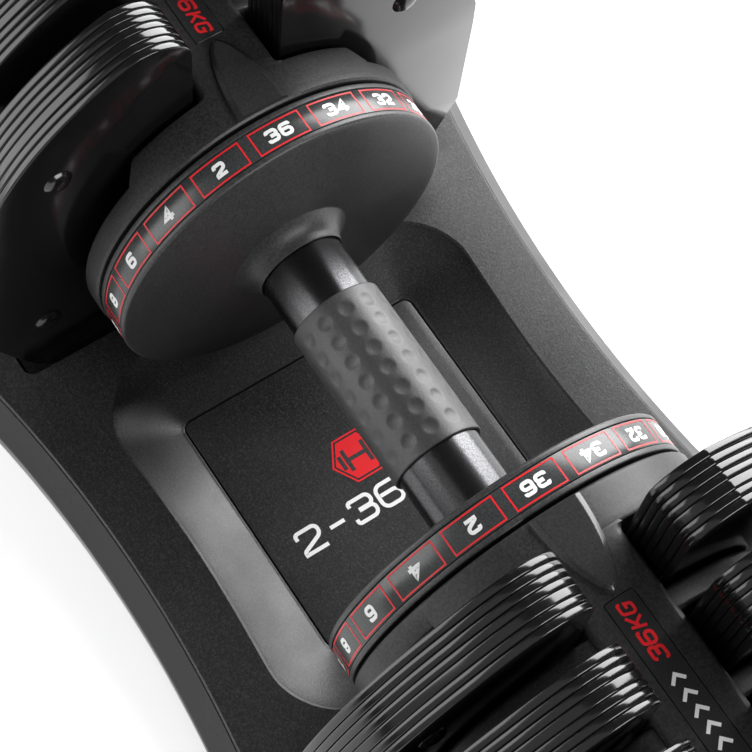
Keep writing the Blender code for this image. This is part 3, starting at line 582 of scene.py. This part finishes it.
def build_end_cap(side, word):
    face = HEAD_END + FIT_GAP
    cap = rounded([(CAP_LOW.x, 0.0), (CAP_LOW.x, CAP_STUB_R), (face, CAP_STUB_R), (face, 0.0300),
                   (face + 0.0012, 0.0310, 0.0008), (face + 0.0049, 0.0288, 0.0022),
                   (face + 0.0049, 0.0215, 0.0008), (face + 0.0036, 0.0205, 0.0006),
                   (face + 0.0032, 0.0060, 0.002), (face + 0.0040, 0.0)], 5, closed=False)
    piece(word + "_end_cap_disc", lathe(cap, 96, side), PLASTIC, "handle",
          [word + "_end_cap"])


# ---- Head housings ----

FLANGE_R = 0.0738
FLANGE_BACK = 0.0983
BUSH_HOLE_R = 0.0153
CHANNEL_HALF = 0.0048
CHANNEL_HEIGHTS = (-0.085, -0.030)
COWL_END = 0.1052
COWL_FOOT = ((-0.0400, 0.0440), (0.0400, 0.0440))
COWL_RINGS = (  # (x, half the angle it spans, inset from the flange's radius)
    (0.0925, 44.5, -0.00003), (0.0962, 44.5, -0.00006), (0.0984, 44.5, -0.00006),
    (0.1016, 41.8, -0.00006), (0.1040, 39.7, -0.00004), (0.1046, 39.2, 0.0001),
    (0.1050, 38.9, 0.00035), (COWL_END, 38.5, 0.0009),
)
SPINE_HALF = 0.0158
SPINE_TOP = 0.0730
SPINE_FLOOR = 0.0520
SPINE_FILLET = 0.0030  # where the cowl's end meets the spine's side
SPINE_EDGE = 0.0026
BLEND_START = 0.1010  # the spine's top turns from the cowl's curve to flat over this stretch
BLEND_LONG = 0.0230
WALL = 0.0088
WALL_GAP = 0.0014
WALL_R = 0.0722
LAST_WALL_R = 0.0675
WALL_HOLE_R = 0.0340
WALL_SLOT_HALF = 0.0050
BOSS_ROOT = 0.0880
BOSS_TIP = 0.1240
BOSS_HALF = 0.0106
BOSS_RINGS = (  # (inset, height above the spine), from its foot up to its flat top
    (-0.0007, -0.0040), (-0.0005, -0.0004), (-0.0002, 0.0), (0.0, 0.0005), (0.0001, 0.0012),
    (0.00025, 0.00145), (0.0005, 0.00162), (0.0021, 0.00245), (0.0024, 0.00256), (0.0030, 0.0026),
)
END_R = 0.0665
LABEL_THICK = 0.0006
PLATES = ("6kg_inner", "6kg_outer", "3kg", "1kg_inner", "1kg_outer")


def flange_shape(side):
    front = FLANGE_FRONT
    profile = rounded([(front, BUSH_HOLE_R), (front, 0.0730, 0.0002), (front + 0.0005, 0.0735, 0.0002),
                       (front + 0.0008, FLANGE_R, 0.0002), (FLANGE_BACK, FLANGE_R, 0.0009),
                       (FLANGE_BACK, BUSH_HOLE_R)], 4)
    return lathe(profile, 288, side)


def cowl_shape(side):
    rings = []
    for x, half, inset in COWL_RINGS:
        ring = arc((0, 0), FLANGE_R - inset, 90 - half, 90 + half, 48) + list(COWL_FOOT)
        rings.append(raised(side * x, ring))
    return loft(rings)


def spine_section(wide):
    """Across the spine's top, as (y, drop): rounded edges and a flat middle."""
    edge = SPINE_EDGE
    section = []
    for k in range(7):
        turn = radians(15 * k)
        section.append((wide - edge + edge * cos(turn), edge * sin(turn) - edge))
    for k in range(1, 10):
        section.append(((wide - edge) * (1 - k / 5), 0.0))
    for k in range(7):
        turn = radians(90 + 15 * k)
        section.append((-(wide - edge) + edge * cos(turn), edge * sin(turn) - edge))
    return section


def spine_shape(side, end):
    """Along the head: cowl-shaped where it starts, then flat on top with soft edges."""
    fillet = SPINE_FILLET
    stations = [0.0990, 0.1030, COWL_END]
    stations += [COWL_END + fillet * (1 - cos(radians(15 * k))) for k in range(1, 7)]
    stations += [0.1100, 0.1130, 0.1160, 0.1200, 0.1240, 0.1400, 0.1700, 0.2000, end - 0.0010, end]
    rings = []
    for x in stations:
        into = min(max(x - COWL_END, 0), fillet)
        wide = SPINE_HALF + fillet - sqrt(max(0.0, fillet**2 - (fillet - into) ** 2))
        if x > end - 0.0005:
            wide -= 0.0008
        t = min(max((x - BLEND_START) / BLEND_LONG, 0), 1)
        t = t * t * (3 - 2 * t)
        ring = []
        for y, drop in spine_section(wide):
            cowl = sqrt(FLANGE_R**2 - y * y) - 0.00002
            flat = SPINE_TOP - 0.0002 * (y / SPINE_HALF) ** 2
            ring.append((y, (1 - t) * cowl + t * flat + drop))
        rings.append(raised(side * x, [(wide, SPINE_FLOOR)] + ring + [(-wide, SPINE_FLOOR)]))
    return loft(rings)


def boss_outline(inset):
    """The pointer's plan: sides that close to a tip like a lancet arch, drawn smaller by inset."""
    start = FLANGE_FRONT + 0.0010
    reach = BOSS_TIP - start
    half = []
    for i in range(48):
        x = start + reach * sin(radians(90 * i / 48))
        half.append((x, BOSS_HALF * (1 - ((x - BOSS_ROOT) / (BOSS_TIP - BOSS_ROOT)) ** 1.9) ** 0.62))
    half.append((BOSS_TIP, 0.0))
    narrow = 1 - inset / BOSS_HALF
    short = 1 - 0.9 * inset / reach
    half = [(start + (x - start) * short, y * narrow) for x, y in half]
    return half + [(x, -y) for x, y in reversed(half[:-1])]


def boss_shape(side):
    return loft([[(side * x, y, AXIS + SPINE_TOP + high) for x, y in boss_outline(inset)]
                 for inset, high in BOSS_RINGS])


def wall_outline(radius):
    """A disc with a round hole that opens downwards through a narrow slot."""
    foot = degrees(math.asin(WALL_SLOT_HALF / radius))
    eye = degrees(math.asin(WALL_SLOT_HALF / WALL_HOLE_R))
    outside = arc((0, 0), radius, -90 + foot, 270 - foot, 150)
    return outside + arc((0, 0), WALL_HOLE_R, 270 - eye, -90 + eye, 60)


def edge_stations(low, high, radius, steps=4):
    """(x, inset) stations for a slab whose edges are rounded by radius."""
    turned = [radians(90 * k / steps) for k in range(steps + 1)]
    first = [(low + radius * (1 - cos(a)), radius * (1 - sin(a))) for a in turned]
    return first + [(low + high - x, inset) for x, inset in reversed(first)]


def label_ring(side, grow, radius):
    """The label's plan, made larger by grow, as a rounded rectangle of (x, y)."""
    low_x, high_x = LABEL_LOW.x - grow, LABEL_HIGH.x + grow
    low_y, high_y = LABEL_LOW.y - grow, LABEL_HIGH.y + grow
    corners = ((low_x, low_y), (high_x, low_y), (high_x, high_y), (low_x, high_y))
    return rounded([(side * x, y, radius) for x, y in corners], 4)


def build_flange(side, word):
    flange = piece(word + "_housing_flange", flange_shape(side), HOUSING, "heads",
                   [word + "_head_housing"])
    # The lock pin slides in a channel below the axis.
    low, high = CHANNEL_HEIGHTS
    outline = ((-CHANNEL_HALF, low), (CHANNEL_HALF, low), (CHANNEL_HALF, high), (-CHANNEL_HALF, high))
    ends = sorted((side * (FLANGE_FRONT - 0.002), side * (FLANGE_BACK + 0.002)))
    cut(flange, loft([[(x, y, AXIS + z) for y, z in outline] for x in ends]))
    piece(word + "_housing_cowl", cowl_shape(side), HOUSING, "heads")


def build_walls(side, word):
    """One wall behind each plate. Returns where the last one ends."""
    end = 0.0
    for i, name in enumerate(PLATES):
        start = plate_span(side, word, name)[1] + WALL_GAP
        end = start + WALL
        radius = WALL_R if name != PLATES[-1] else LAST_WALL_R
        stations = [(side * x, inset) for x, inset in edge_stations(start, end, 0.0016)]
        piece(f"{word}_housing_wall_{i + 1}", prism(wall_outline(radius), stations), HOUSING, "heads")
    return end


def build_spine(side, word, end):
    spine = piece(word + "_housing_spine", spine_shape(side, end), HOUSING, "heads")
    pocket = [[(x, y, AXIS + SPINE_TOP + high) for x, y in label_ring(side, FIT_GAP, 0.0012)]
              for high in (-0.0008, 0.01)]
    cut(spine, loft(pocket))
    piece(word + "_housing_boss", boss_shape(side), SATIN, "heads")


def build_housing_end(side, word, start):
    """The ribbed round end that closes the head."""
    face = HEAD_END
    bearing = rounded([(start, BUSH_HOLE_R), (start, END_R), (face - 0.0001, END_R, 0.0022),
                       (face - 0.0001, 0.0590, 0.0008), (face - 0.0014, 0.0580, 0.0008),
                       (face - 0.0014, 0.0370, 0.0008), (face, 0.0360, 0.0008), (face, BUSH_HOLE_R)], 5)
    piece(word + "_housing_end", lathe(bearing, 180, side), HOUSING, "heads")


def build_label(side, word):
    rings = []
    for high, inset in ((0.0, 0.0), (LABEL_THICK - 0.00015, 0.0), (LABEL_THICK, 0.00015)):
        ring = offset(label_ring(side, 0.0, 0.0011), inset)
        rings.append([(x, y, LABEL_LOW.z + high) for x, y in ring])
    piece(word + "_label_foil", loft(rings), LABEL, "heads", [word + "_spine_label"])
    face = LABEL_LOW.z + LABEL_THICK

    def on_label(centre):
        def place(u, v, w):
            return (side * (centre - u), -side * v, face + w)
        return place

    red = Shape()
    write(red, "36", 0.0043, 0.0048, 0.00058, 0.0004, -0.0001, 0.00006, on_label(0.1452), 0.3)
    write(red, "KG", 0.0037, 0.0048, 0.00052, 0.0004, -0.0001, 0.00006, on_label(0.1334), 0.3)
    piece(word + "_label_setting", red, RED, "heads")
    white = Shape()
    chevron = [(-0.0014, -0.0027), (0.0014, 0.0), (-0.0014, 0.0027)]
    for n in range(5):
        white.add(ribbon(chevron, 0.00065, -0.0001, 0.00006, on_label(0.1582 + 0.0062 * n), False))
    piece(word + "_label_arrows", white, WHITE, "heads")


def build_housing(side, word):
    build_flange(side, word)
    end_wall = build_walls(side, word)
    build_spine(side, word, end_wall - 0.0005)
    build_housing_end(side, word, end_wall - 0.0010)
    build_label(side, word)


# ---- Plates ----

SHEETS = {  # relative thickness from the -X side; the negative one has a flat edge
    "6kg_inner": (1, 1, 1, 1, -1.15, 1, 1),
    "6kg_outer": (1, 1, 1, -1.15, 1, 1, 1),
    "3kg": (1, 1, -1.15, 1),
    "1kg_inner": (-1,),
    "1kg_outer": (-1,),
}
SHEET_GAP = 0.00007  # half the gap between two sheets
CROWN = (0, 0.19, 0.38, 0.55, 0.7, 0.82, 0.91, 0.97, 1)
RIVETS = ((0.0750, 0.0630), (0.0880, -0.0370))
RIVET_PROFILE = (  # (height above the plate, radius)
    (-0.0004, 0.0), (-0.0004, 0.0058), (0.00025, 0.0058), (0.0005, 0.0055), (0.0009, 0.0051),
    (0.0015, 0.0043), (0.0020, 0.0031), (0.0023, 0.0016), (0.0024, 0.0),
)
HOOK_REACH = 0.0056  # the hook pin reaches this far past the plate
HOOK_R = 0.0023
HOOK_DROP = 0.0232
SLOT_FLOOR = -0.0190
SLOT_HALF = 0.0183
SLOT_CORNER = 0.006
SLOT_MOUTH = (
    (SLOT_HALF, 0.0970), (0.01835, 0.1000), (0.0190, 0.1037), (0.0207, 0.1067), (0.0236, 0.1094),
    (0.0270, 0.1114), (0.0306, 0.1129), (0.0340, 0.1136), (0.0372, 0.11375),
)
CREST = (0.0386, 0.11385, 0.0045)
ROUND_START = (0.0420, 0.1128)
ROUND_R = 0.1160
ROUND_LIFT = 0.0047
PLATE_SIDE = 0.1131
PLATE_CORNER = (  # from the upright side down to the bottom edge
    (PLATE_SIDE, 0.0200), (PLATE_SIDE, -0.0380, 0.006), (0.1083, -0.0482, 0.008),
    (0.1023, -0.0607, 0.012), (0.0958, -0.0722, 0.012), (0.0905, -0.0785, 0.006),
    (0.0860, -0.0800, 0.004), (0.0500, -0.0800),
)


def plate_span(side, word, name):
    """Where a plate's sheets begin and end, away from the middle."""
    low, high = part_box(f"{word}_plate_{name}")
    near, far = (low.x, high.x) if side > 0 else (-high.x, -low.x)
    return near, far - HOOK_REACH


def plate_outline():
    """A plate as (y, z): an open slot in the middle, a round top, and cut-off lower corners."""
    half = [(0.0, SLOT_FLOOR)]
    half += arc((SLOT_HALF - SLOT_CORNER, SLOT_FLOOR + SLOT_CORNER), SLOT_CORNER, -90, 0, 6)
    half += [(SLOT_HALF, z) for z in (0.0, 0.03, 0.06, 0.085)]
    half += smooth_curve(SLOT_MOUTH, 4)
    half += rounded([half[-1], CREST, ROUND_START], 6, closed=False)[1:-1]
    start = degrees(math.acos(ROUND_START[0] / ROUND_R))
    end = degrees(math.acos((PLATE_SIDE - 0.0006) / ROUND_R))
    half += arc((0.0, ROUND_LIFT), ROUND_R, start, end, 44)
    half += rounded(PLATE_CORNER, 4, closed=False)[:-1]
    return half + [(-y, z) for y, z in reversed(half[1:])]


def sheet_stations(low, high, sheets):
    """(x, inset) stations across a stack of sheets with crowned edges and dark gaps between them."""
    unit = (high - low) / sum(abs(size) for size in sheets)
    result = []
    x = low
    for n, size in enumerate(sheets):
        start = x + (SHEET_GAP if n else 0)
        x += abs(size) * unit
        stop = x - (SHEET_GAP if n < len(sheets) - 1 else 0)
        half = (stop - start) / 2
        middle = (stop + start) / 2
        for t in [-t for t in CROWN[:0:-1]] + list(CROWN):
            crown = 0.00024 * t * t if size > 0 else 0.00004 * t * t
            result.append((middle + half * t, crown + 0.0003 * abs(t) ** 9))
        if n < len(sheets) - 1:
            result.append((x - 0.00005, 0.0016))
            result.append((x + 0.00005, 0.0016))
    return result


def rivet_shape(x, outwards, y, z):
    return lathe([(x + outwards * px, r) for px, r in RIVET_PROFILE], 28, 1, (y, AXIS + z))


def build_plate(side, word, name):
    low, high = plate_span(side, word, name)
    stations = sheet_stations(low, high, SHEETS[name][::side])
    shape = Shape().add(prism(plate_outline(), [(side * x, inset) for x, inset in stations]))
    for y, z in RIVETS:
        for turn in (1, -1):
            shape.add(rivet_shape(side * low, -side, turn * y, z))
            shape.add(rivet_shape(side * high, side, turn * y, z))
    tip = high + 0.0055
    pin = rounded([(high - 0.001, 0.0), (high - 0.001, HOOK_R), (tip, HOOK_R, 0.0005), (tip, 0.0)], 3,
                  closed=False)
    shape.add(lathe(pin, 24, side, (0.0, AXIS - HOOK_DROP)))
    body = f"{word}_plate_{name}"
    piece(body + "_sheets", shape, PAINT, body, [body], 30)


# ---- Cradle ----

WAIST_HALF = 0.1079
WAIST_BEND = 0.843
SIDE_END_X = 0.1766
CORNER_R = 0.0400
BASE_TOP = 0.0282
CRADLE_SECTION = (  # (outset from the edge line, height), from the foot of the skirt to the top
    (0.0072, 0.0020), (0.0084, 0.0024), (0.0089, 0.0040), (0.0094, 0.0140), (0.0093, 0.0150),
    (0.0089, 0.0158), (0.0082, 0.0167), (0.0012, 0.0262), (0.0008, 0.0267), (0.0003, 0.0267),
    (0.0002, 0.0270), (0.0003, 0.0273), (0.0001, 0.0277), (-0.0004, 0.0281), (-0.0012, BASE_TOP),
)
SKIRT_TOP = 0.02665
SKIRT_END_X = 0.224
RECESS_X = 0.0865
RECESS_Y = 0.0846
RECESS_R = 0.0320
RECESS_WAIST = 0.0026
RECESS_WAIST_X = 0.0620
RECESS_FLOOR = PANEL_HIGH.z
PANEL_HALF = PANEL_HIGH.x
PANEL_FOOT = PANEL_HALF + 0.0012  # where the recess's walls reach its floor
PANEL_FOOT_R = 0.0047
SEAT_FLOOR = PANEL_LOW.z - FIT_GAP
TROUGH_START = RECESS_X - 0.0060
TROUGH_FLOOR = 0.0205
WELL_START = 0.1040
WELL_END = 0.2225
WELL_MIDDLE = (WELL_START + WELL_END) / 2
WELL_LONG = (WELL_END - WELL_START) / 2
WELL_HALF = 0.1022
WELL_FLOOR = 0.0115
SHELL = 0.0030
FOOT_BOSS_R = 0.011
SOFT_EDGE = 28  # degrees from which an edge of the cradle is shaded sharp
BADGE_X = -0.0072
BADGE_Y = -0.0022


def cradle_ring(grow, z):
    """The cradle's waisted outline, made larger by grow."""
    side = []
    steps = 48
    for i in range(steps + 1):
        x = SIDE_END_X * (2 * i / steps - 1)
        slope = 2 * WAIST_BEND * x
        length = hypot(slope, 1)
        side.append((x - grow * slope / length, WAIST_HALF + WAIST_BEND * x * x + grow / length))
    slope = 2 * WAIST_BEND * SIDE_END_X
    length = hypot(slope, 1)
    end_y = WAIST_HALF + WAIST_BEND * SIDE_END_X**2
    centre = (SIDE_END_X + CORNER_R * slope / length, end_y - CORNER_R / length)
    corner = arc(centre, CORNER_R + grow, 90 + degrees(math.atan(slope)), 0, 24)
    upper = [(-x, y) for x, y in reversed(corner[1:])] + side + corner[1:]
    return [(x, y, z) for x, y in upper + [(-x, -y) for x, y in upper]]


def soft_rectangle(half_x, half_y, radius, z, middle=0.0, steps=12):
    ring = []
    for quarter, (sx, sy) in enumerate(((1, 1), (-1, 1), (-1, -1), (1, -1))):
        corner = (middle + sx * (half_x - radius), sy * (half_y - radius))
        ring += [(x, y, z) for x, y in arc(corner, radius, 90 * quarter, 90 * quarter + 90, steps)]
    return ring


def recess_ring(out, t, z):
    """A ring of the recess, from its waisted upper edge (t = 0) to the panel's seat (t = 1)."""
    half_x = RECESS_X + out + (PANEL_FOOT - RECESS_X) * t
    half_y = RECESS_Y + out + (PANEL_FOOT - RECESS_Y) * t
    radius = RECESS_R + out + (PANEL_FOOT_R - RECESS_R) * t
    ring = []
    corners = soft_rectangle(half_x, half_y, radius, z)
    for i, (x, y, _) in enumerate(corners):
        next_x = corners[(i + 1) % len(corners)][0]
        ring.append((x, y))
        if abs(next_x - x) > half_x:
            ring += [(x + (next_x - x) * k / 32, y) for k in range(1, 32)]
    result = []
    for x, y in ring:
        bend = (1 - t) * RECESS_WAIST * max(0.0, 1 - (x / RECESS_WAIST_X) ** 2) ** 1.5
        result.append((x, y - math.copysign(bend, y), z))
    return result


def soft_panel(out, z):
    """The panel's seat as a ring with as many points as recess_ring."""
    ring = recess_ring(0.0, 1.0, z)
    scale = (PANEL_HALF + out) / PANEL_FOOT
    return [(x * scale, y * scale, z) for x, y, _ in ring]


def slab(low, high, outline):
    return loft([[(x, y, z) for y, z in outline] for x in (low, high)])


def hollow_shape():
    """The hollow under the cradle, which leaves a shell below every surface of the top."""
    core = add_object("core", loft([cradle_ring(0.0054, -0.01), cradle_ring(0.0064, 0.0144),
                                    cradle_ring(-0.0035, BASE_TOP - SHELL)]), None)
    side_x, side_y, seat = RECESS_X + SHELL + 0.003, RECESS_Y + SHELL + 0.003, PANEL_HALF + 0.005
    cut(core, loft([soft_rectangle(side_x, side_y, RECESS_R, BASE_TOP),
                    soft_rectangle(seat, seat, 0.008, RECESS_FLOOR - SHELL),
                    soft_rectangle(seat, seat, 0.008, SEAT_FLOOR - 0.0025)]))
    wells = Shape()
    troughs = Shape()
    bosses = Shape()
    bottom, top = TROUGH_FLOOR - SHELL, BASE_TOP + 0.001
    for side in (1, -1):
        wells.add(loft([soft_rectangle(WELL_LONG + SHELL, WELL_HALF + SHELL, 0.007, z, side * WELL_MIDDLE)
                        for z in (top, WELL_FLOOR - SHELL)]))
        low, high = sorted((side * (TROUGH_START - SHELL), side * (WELL_START + 0.001)))
        troughs.add(slab(low, high, [(-0.04, bottom), (0.04, bottom), (0.04, top), (-0.04, top)]))
    for i in range(4):
        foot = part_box(f"rubber_foot_{i + 1}")
        centre = (foot[0] + foot[1]) / 2
        ring = arc((centre.x, centre.y), FOOT_BOSS_R, 0, 348.75, 31)
        bosses.add(loft([[(x, y, z) for x, y in ring] for z in (foot[1].z + FIT_GAP, BASE_TOP)]))
    for shape in (wells, troughs, bosses):
        cut(core, shape)
    points = [tuple(v.co) for v in core.data.vertices]
    faces = [tuple(p.vertices) for p in core.data.polygons]
    bpy.data.objects.remove(core)
    return points, faces


def recess_shape():
    """The recess: a rolled upper edge, sloping walls, a soft foot, and the seat of the panel."""
    rolled = 0.0015
    tall = BASE_TOP - RECESS_FLOOR
    rings = [recess_ring(0.0026, 0, BASE_TOP + 0.0006)]
    for out, down in ((0.0016, 0.00004), (0.0009, 0.0003), (0.0003, 0.0008), (-0.0004, rolled)):
        rings.append(recess_ring(out, 0, BASE_TOP - down))
    for t in (0.3, 0.55, 0.75, 0.88, 0.94, 0.975, 1.0):
        drop = rolled + (tall - rolled) * min(1.0, t * 1.02)
        rings.append(recess_ring(-0.0004 * (1 - t), t, BASE_TOP - drop))
    rings.append(soft_panel(0.0008, RECESS_FLOOR - 0.0003))
    rings.append(soft_panel(0.0006, SEAT_FLOOR))
    return loft(rings)


def paint_skirt(base):
    """The skirt below the edge line is smoother than the grained top."""
    base.data.materials.append(SKIRT)
    for face in base.data.polygons:
        middle = face.center
        edge_y = WAIST_HALF + WAIST_BEND * min(abs(middle.x), SIDE_END_X) ** 2
        outside = abs(middle.y) > edge_y - 0.0006 or abs(middle.x) > SKIRT_END_X
        if middle.z < SKIRT_TOP and outside and face.normal.z > -0.5:
            face.material_index = 1


def build_cradle_body():
    rings = [cradle_ring(grow, z) for grow, z in CRADLE_SECTION]
    base = piece("cradle_body", loft(rings), CRADLE, "cradle", ["cradle_base"], SOFT_EDGE)
    cut(base, hollow_shape(), SOFT_EDGE)
    cut(base, recess_shape(), SOFT_EDGE)
    wells = Shape()
    troughs = Shape()
    for side in (1, -1):
        wells.add(loft([soft_rectangle(WELL_LONG + out, WELL_HALF + out, 0.0040 + out, z, side * WELL_MIDDLE)
                        for out, z in ((0.0012, BASE_TOP + 0.001), (0.0004, BASE_TOP - 0.0008),
                                       (0.0, WELL_FLOOR))]))
        low, high = sorted((side * TROUGH_START, side * (WELL_START + 0.0020)))
        outline = arc((0, AXIS), AXIS - TROUGH_FLOOR, -112, -68, 40) + [(0.04, 0.04), (-0.04, 0.04)]
        troughs.add(slab(low, high, outline))
    cut(base, wells, SOFT_EDGE)
    cut(base, troughs, SOFT_EDGE)
    paint_skirt(base)


def on_panel(u, v, w):
    """u runs along +Y and v along -X, from the badge's centre."""
    return (BADGE_X - v, BADGE_Y + u, RECESS_FLOOR + w)


def on_panel_line(u, v, w):
    return on_panel(u - BADGE_Y, v - 0.0212, w)


def hexagon(radius):
    turned = [radians(60 * k) for k in range(6)]
    return [(radius * cos(a), radius * sin(a)) for a in turned]


def build_panel():
    rings = []
    for high, inset in ((PANEL_LOW.z, 0.0), (RECESS_FLOOR - 0.0004, 0.0), (RECESS_FLOOR - 0.0001, 0.0001),
                        (RECESS_FLOOR, 0.0004)):
        rings.append(soft_rectangle(PANEL_HALF - inset, PANEL_HALF - inset, 0.0035, high))
    piece("cradle_panel_insert", loft(rings), PANEL, "cradle", ["cradle_panel"])
    red = Shape().add(ribbon(hexagon(0.0118), 0.00035, -0.0002, 0.00008, on_panel, True))
    red.add(loft([[on_panel(u, v, w) for u, v in hexagon(0.0104)] for w in (-0.0002, 0.00008)]))
    piece("cradle_badge", red, RED, "cradle")
    dark = Shape().add(ribbon([(-0.0050, 0), (0.0050, 0)], 0.0009, -0.0001, 0.00012, on_panel, False))
    for turn in (1, -1):
        for far, tall in ((0.0047, 0.0052), (0.0073, 0.0034)):
            bar = [(turn * far, -tall), (turn * far, tall)]
            dark.add(ribbon(bar, 0.0009, -0.0001, 0.00014, on_panel, False))
    piece("cradle_badge_emblem", dark, PANEL, "cradle")
    white = Shape()
    write(white, "2-36 KG", 0.0100, 0.0102, 0.00085, 0.0013, -0.0002, 0.00008, on_panel_line)
    piece("cradle_range", white, WHITE, "cradle")


def build_feet():
    for i in range(4):
        low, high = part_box(f"rubber_foot_{i + 1}")
        x, y = (low.x + high.x) / 2, (low.y + high.y) / 2
        radius = (high.x - low.x) / 2
        profile = rounded([(low.z, 0.0), (low.z, radius, 0.0011), (high.z, radius - 0.0004, 0.0004),
                           (high.z, 0.0)], 4, closed=False)
        points, faces = lathe(profile, 48, 1, (0.0, 0.0))
        turned = [(x + p[1], y + p[2], p[0]) for p in points]
        piece(f"foot_{i + 1}_pad", (turned, faces), FOOT, "cradle", [f"rubber_foot_{i + 1}"])


# ---- CAD nodes that stay ----


def keep_node(node, finish, bevel):
    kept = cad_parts[node]
    kept.data.materials.clear()
    kept.data.materials.append(finish)
    if bevel:
        soft = kept.modifiers.new("soft_edges", "BEVEL")
        soft.width = bevel
        soft.segments = 2
        soft.limit_method = "ANGLE"
        soft.angle_limit = radians(40)


def finish_kept_nodes():
    keep_node("selector_shaft", STEEL, 0)
    for word in ("left", "right"):
        for part, finish, bevel in (("plate_rack", CRADLE, 0.0005), ("lock_post", STEEL, 0.0003),
                                    ("lock_pin", STEEL, 0.0003), ("lock_spring", STEEL, 0),
                                    ("inner_bush", BRONZE, 0.0002), ("outer_bush", BRONZE, 0.0002)):
            keep_node(f"{word}_{part}", finish, bevel)
        for i in range(5):
            keep_node(f"{word}_selector_disc_{i + 1}", NYLON, 0.0002)


# ---- Floor, light and camera ----

FLOOR_REACH = 4.0
FLOOR_GLOW = 0.54
WORLD_LIGHT = 0.11
LIGHTS = (  # name, place, target, width, height, radiance
    ("key", (-0.52, 1.15, 0.69), (0.0, 0.0, 0.10), 1.25, 1.18, 11.0),
    ("tall_fill", (-0.76, -1.26, 0.62), (0.0, 0.0, 0.1), 1.05, 1.25, 3.6),
    ("side_wall", (0.35, -1.15, 1.00), (0.0, 0.0, 0.1), 2.3, 1.8, 0.42),
    ("front_fill", (1.15, 0.28, 0.76), (0.0, 0.0, 0.1), 0.95, 0.65, 8.0),
)
CAMERA_RIGHT = (0.55408, 0.82931, 0.07239)
CAMERA_FORWARD = (-0.29788, 0.27870, -0.91302)
CAMERA_PLACE = (0.21774, -0.20996, 0.78121)


def build_stage():
    floor = bpy.data.meshes.new("floor")
    corners = [(x * FLOOR_REACH, y * FLOOR_REACH, 0) for x, y in ((-1, -1), (1, -1), (1, 1), (-1, 1))]
    floor.from_pydata(corners, [], [(0, 1, 2, 3)])
    made = bpy.data.objects.new("floor", floor)
    finish = surface("pale_floor", (0.80, 0.80, 0.80), 0.8, grain=60, depth=0.0, strength=0.0,
                     spread=0.01, specular=0.1)
    shader = finish.node_tree.nodes["Principled BSDF"]
    set_inputs(shader, {"Emission Color": (1, 1, 1, 1), "Emission Strength": FLOOR_GLOW})
    floor.materials.append(finish)
    SCENE.collection.objects.link(made)


def softbox(name, place, target, wide, tall, radiance):
    light = bpy.data.lights.new(name, "AREA")
    light.shape = "RECTANGLE"
    light.size = wide
    light.size_y = tall
    light.energy = radiance * wide * tall * math.pi
    made = bpy.data.objects.new(name, light)
    made.location = place
    made.rotation_euler = (Vector(target) - Vector(place)).to_track_quat("-Z", "Y").to_euler()
    SCENE.collection.objects.link(made)


def light_world():
    world = bpy.data.worlds.new("studio")
    SCENE.world = world
    world.use_nodes = True
    tree = world.node_tree
    back = tree.nodes["Background"]
    set_inputs(back, {"Color": (1, 1, 1, 1)})
    seen = tree.nodes.new("ShaderNodeLightPath")
    level = tree.nodes.new("ShaderNodeMapRange")
    set_inputs(level, {"To Min": WORLD_LIGHT, "To Max": 1.0})
    tree.links.new(seen.outputs["Is Camera Ray"], level.inputs["Value"])
    tree.links.new(level.outputs["Result"], back.inputs["Strength"])


def place_camera():
    camera = bpy.data.objects.new("camera", bpy.data.cameras.new("camera"))
    right = Vector(CAMERA_RIGHT).normalized()
    forward = Vector(CAMERA_FORWARD).normalized()
    up = right.cross(forward).normalized()
    place = Matrix((right, up, -forward)).transposed().to_4x4()
    place.translation = CAMERA_PLACE
    camera.matrix_world = place
    camera.data.lens = 94.23
    camera.data.sensor_width = 36
    camera.data.clip_start = 0.01
    SCENE.collection.objects.link(camera)
    SCENE.camera = camera


build_grip()
build_grip_line()
build_tube()
for side, word in ((-1, "left"), (1, "right")):
    build_dial_body(side, word)
    build_number_band(side, word)
    build_dial_line(side, word)
    build_end_cap(side, word)
    build_housing(side, word)
    for name in PLATES:
        build_plate(side, word, name)
build_cradle_body()
build_panel()
build_feet()
finish_kept_nodes()
build_stage()
for light in LIGHTS:
    softbox(*light)
light_world()
SCENE.view_settings.view_transform = "Standard"
SCENE.view_settings.look = "None"
place_camera()
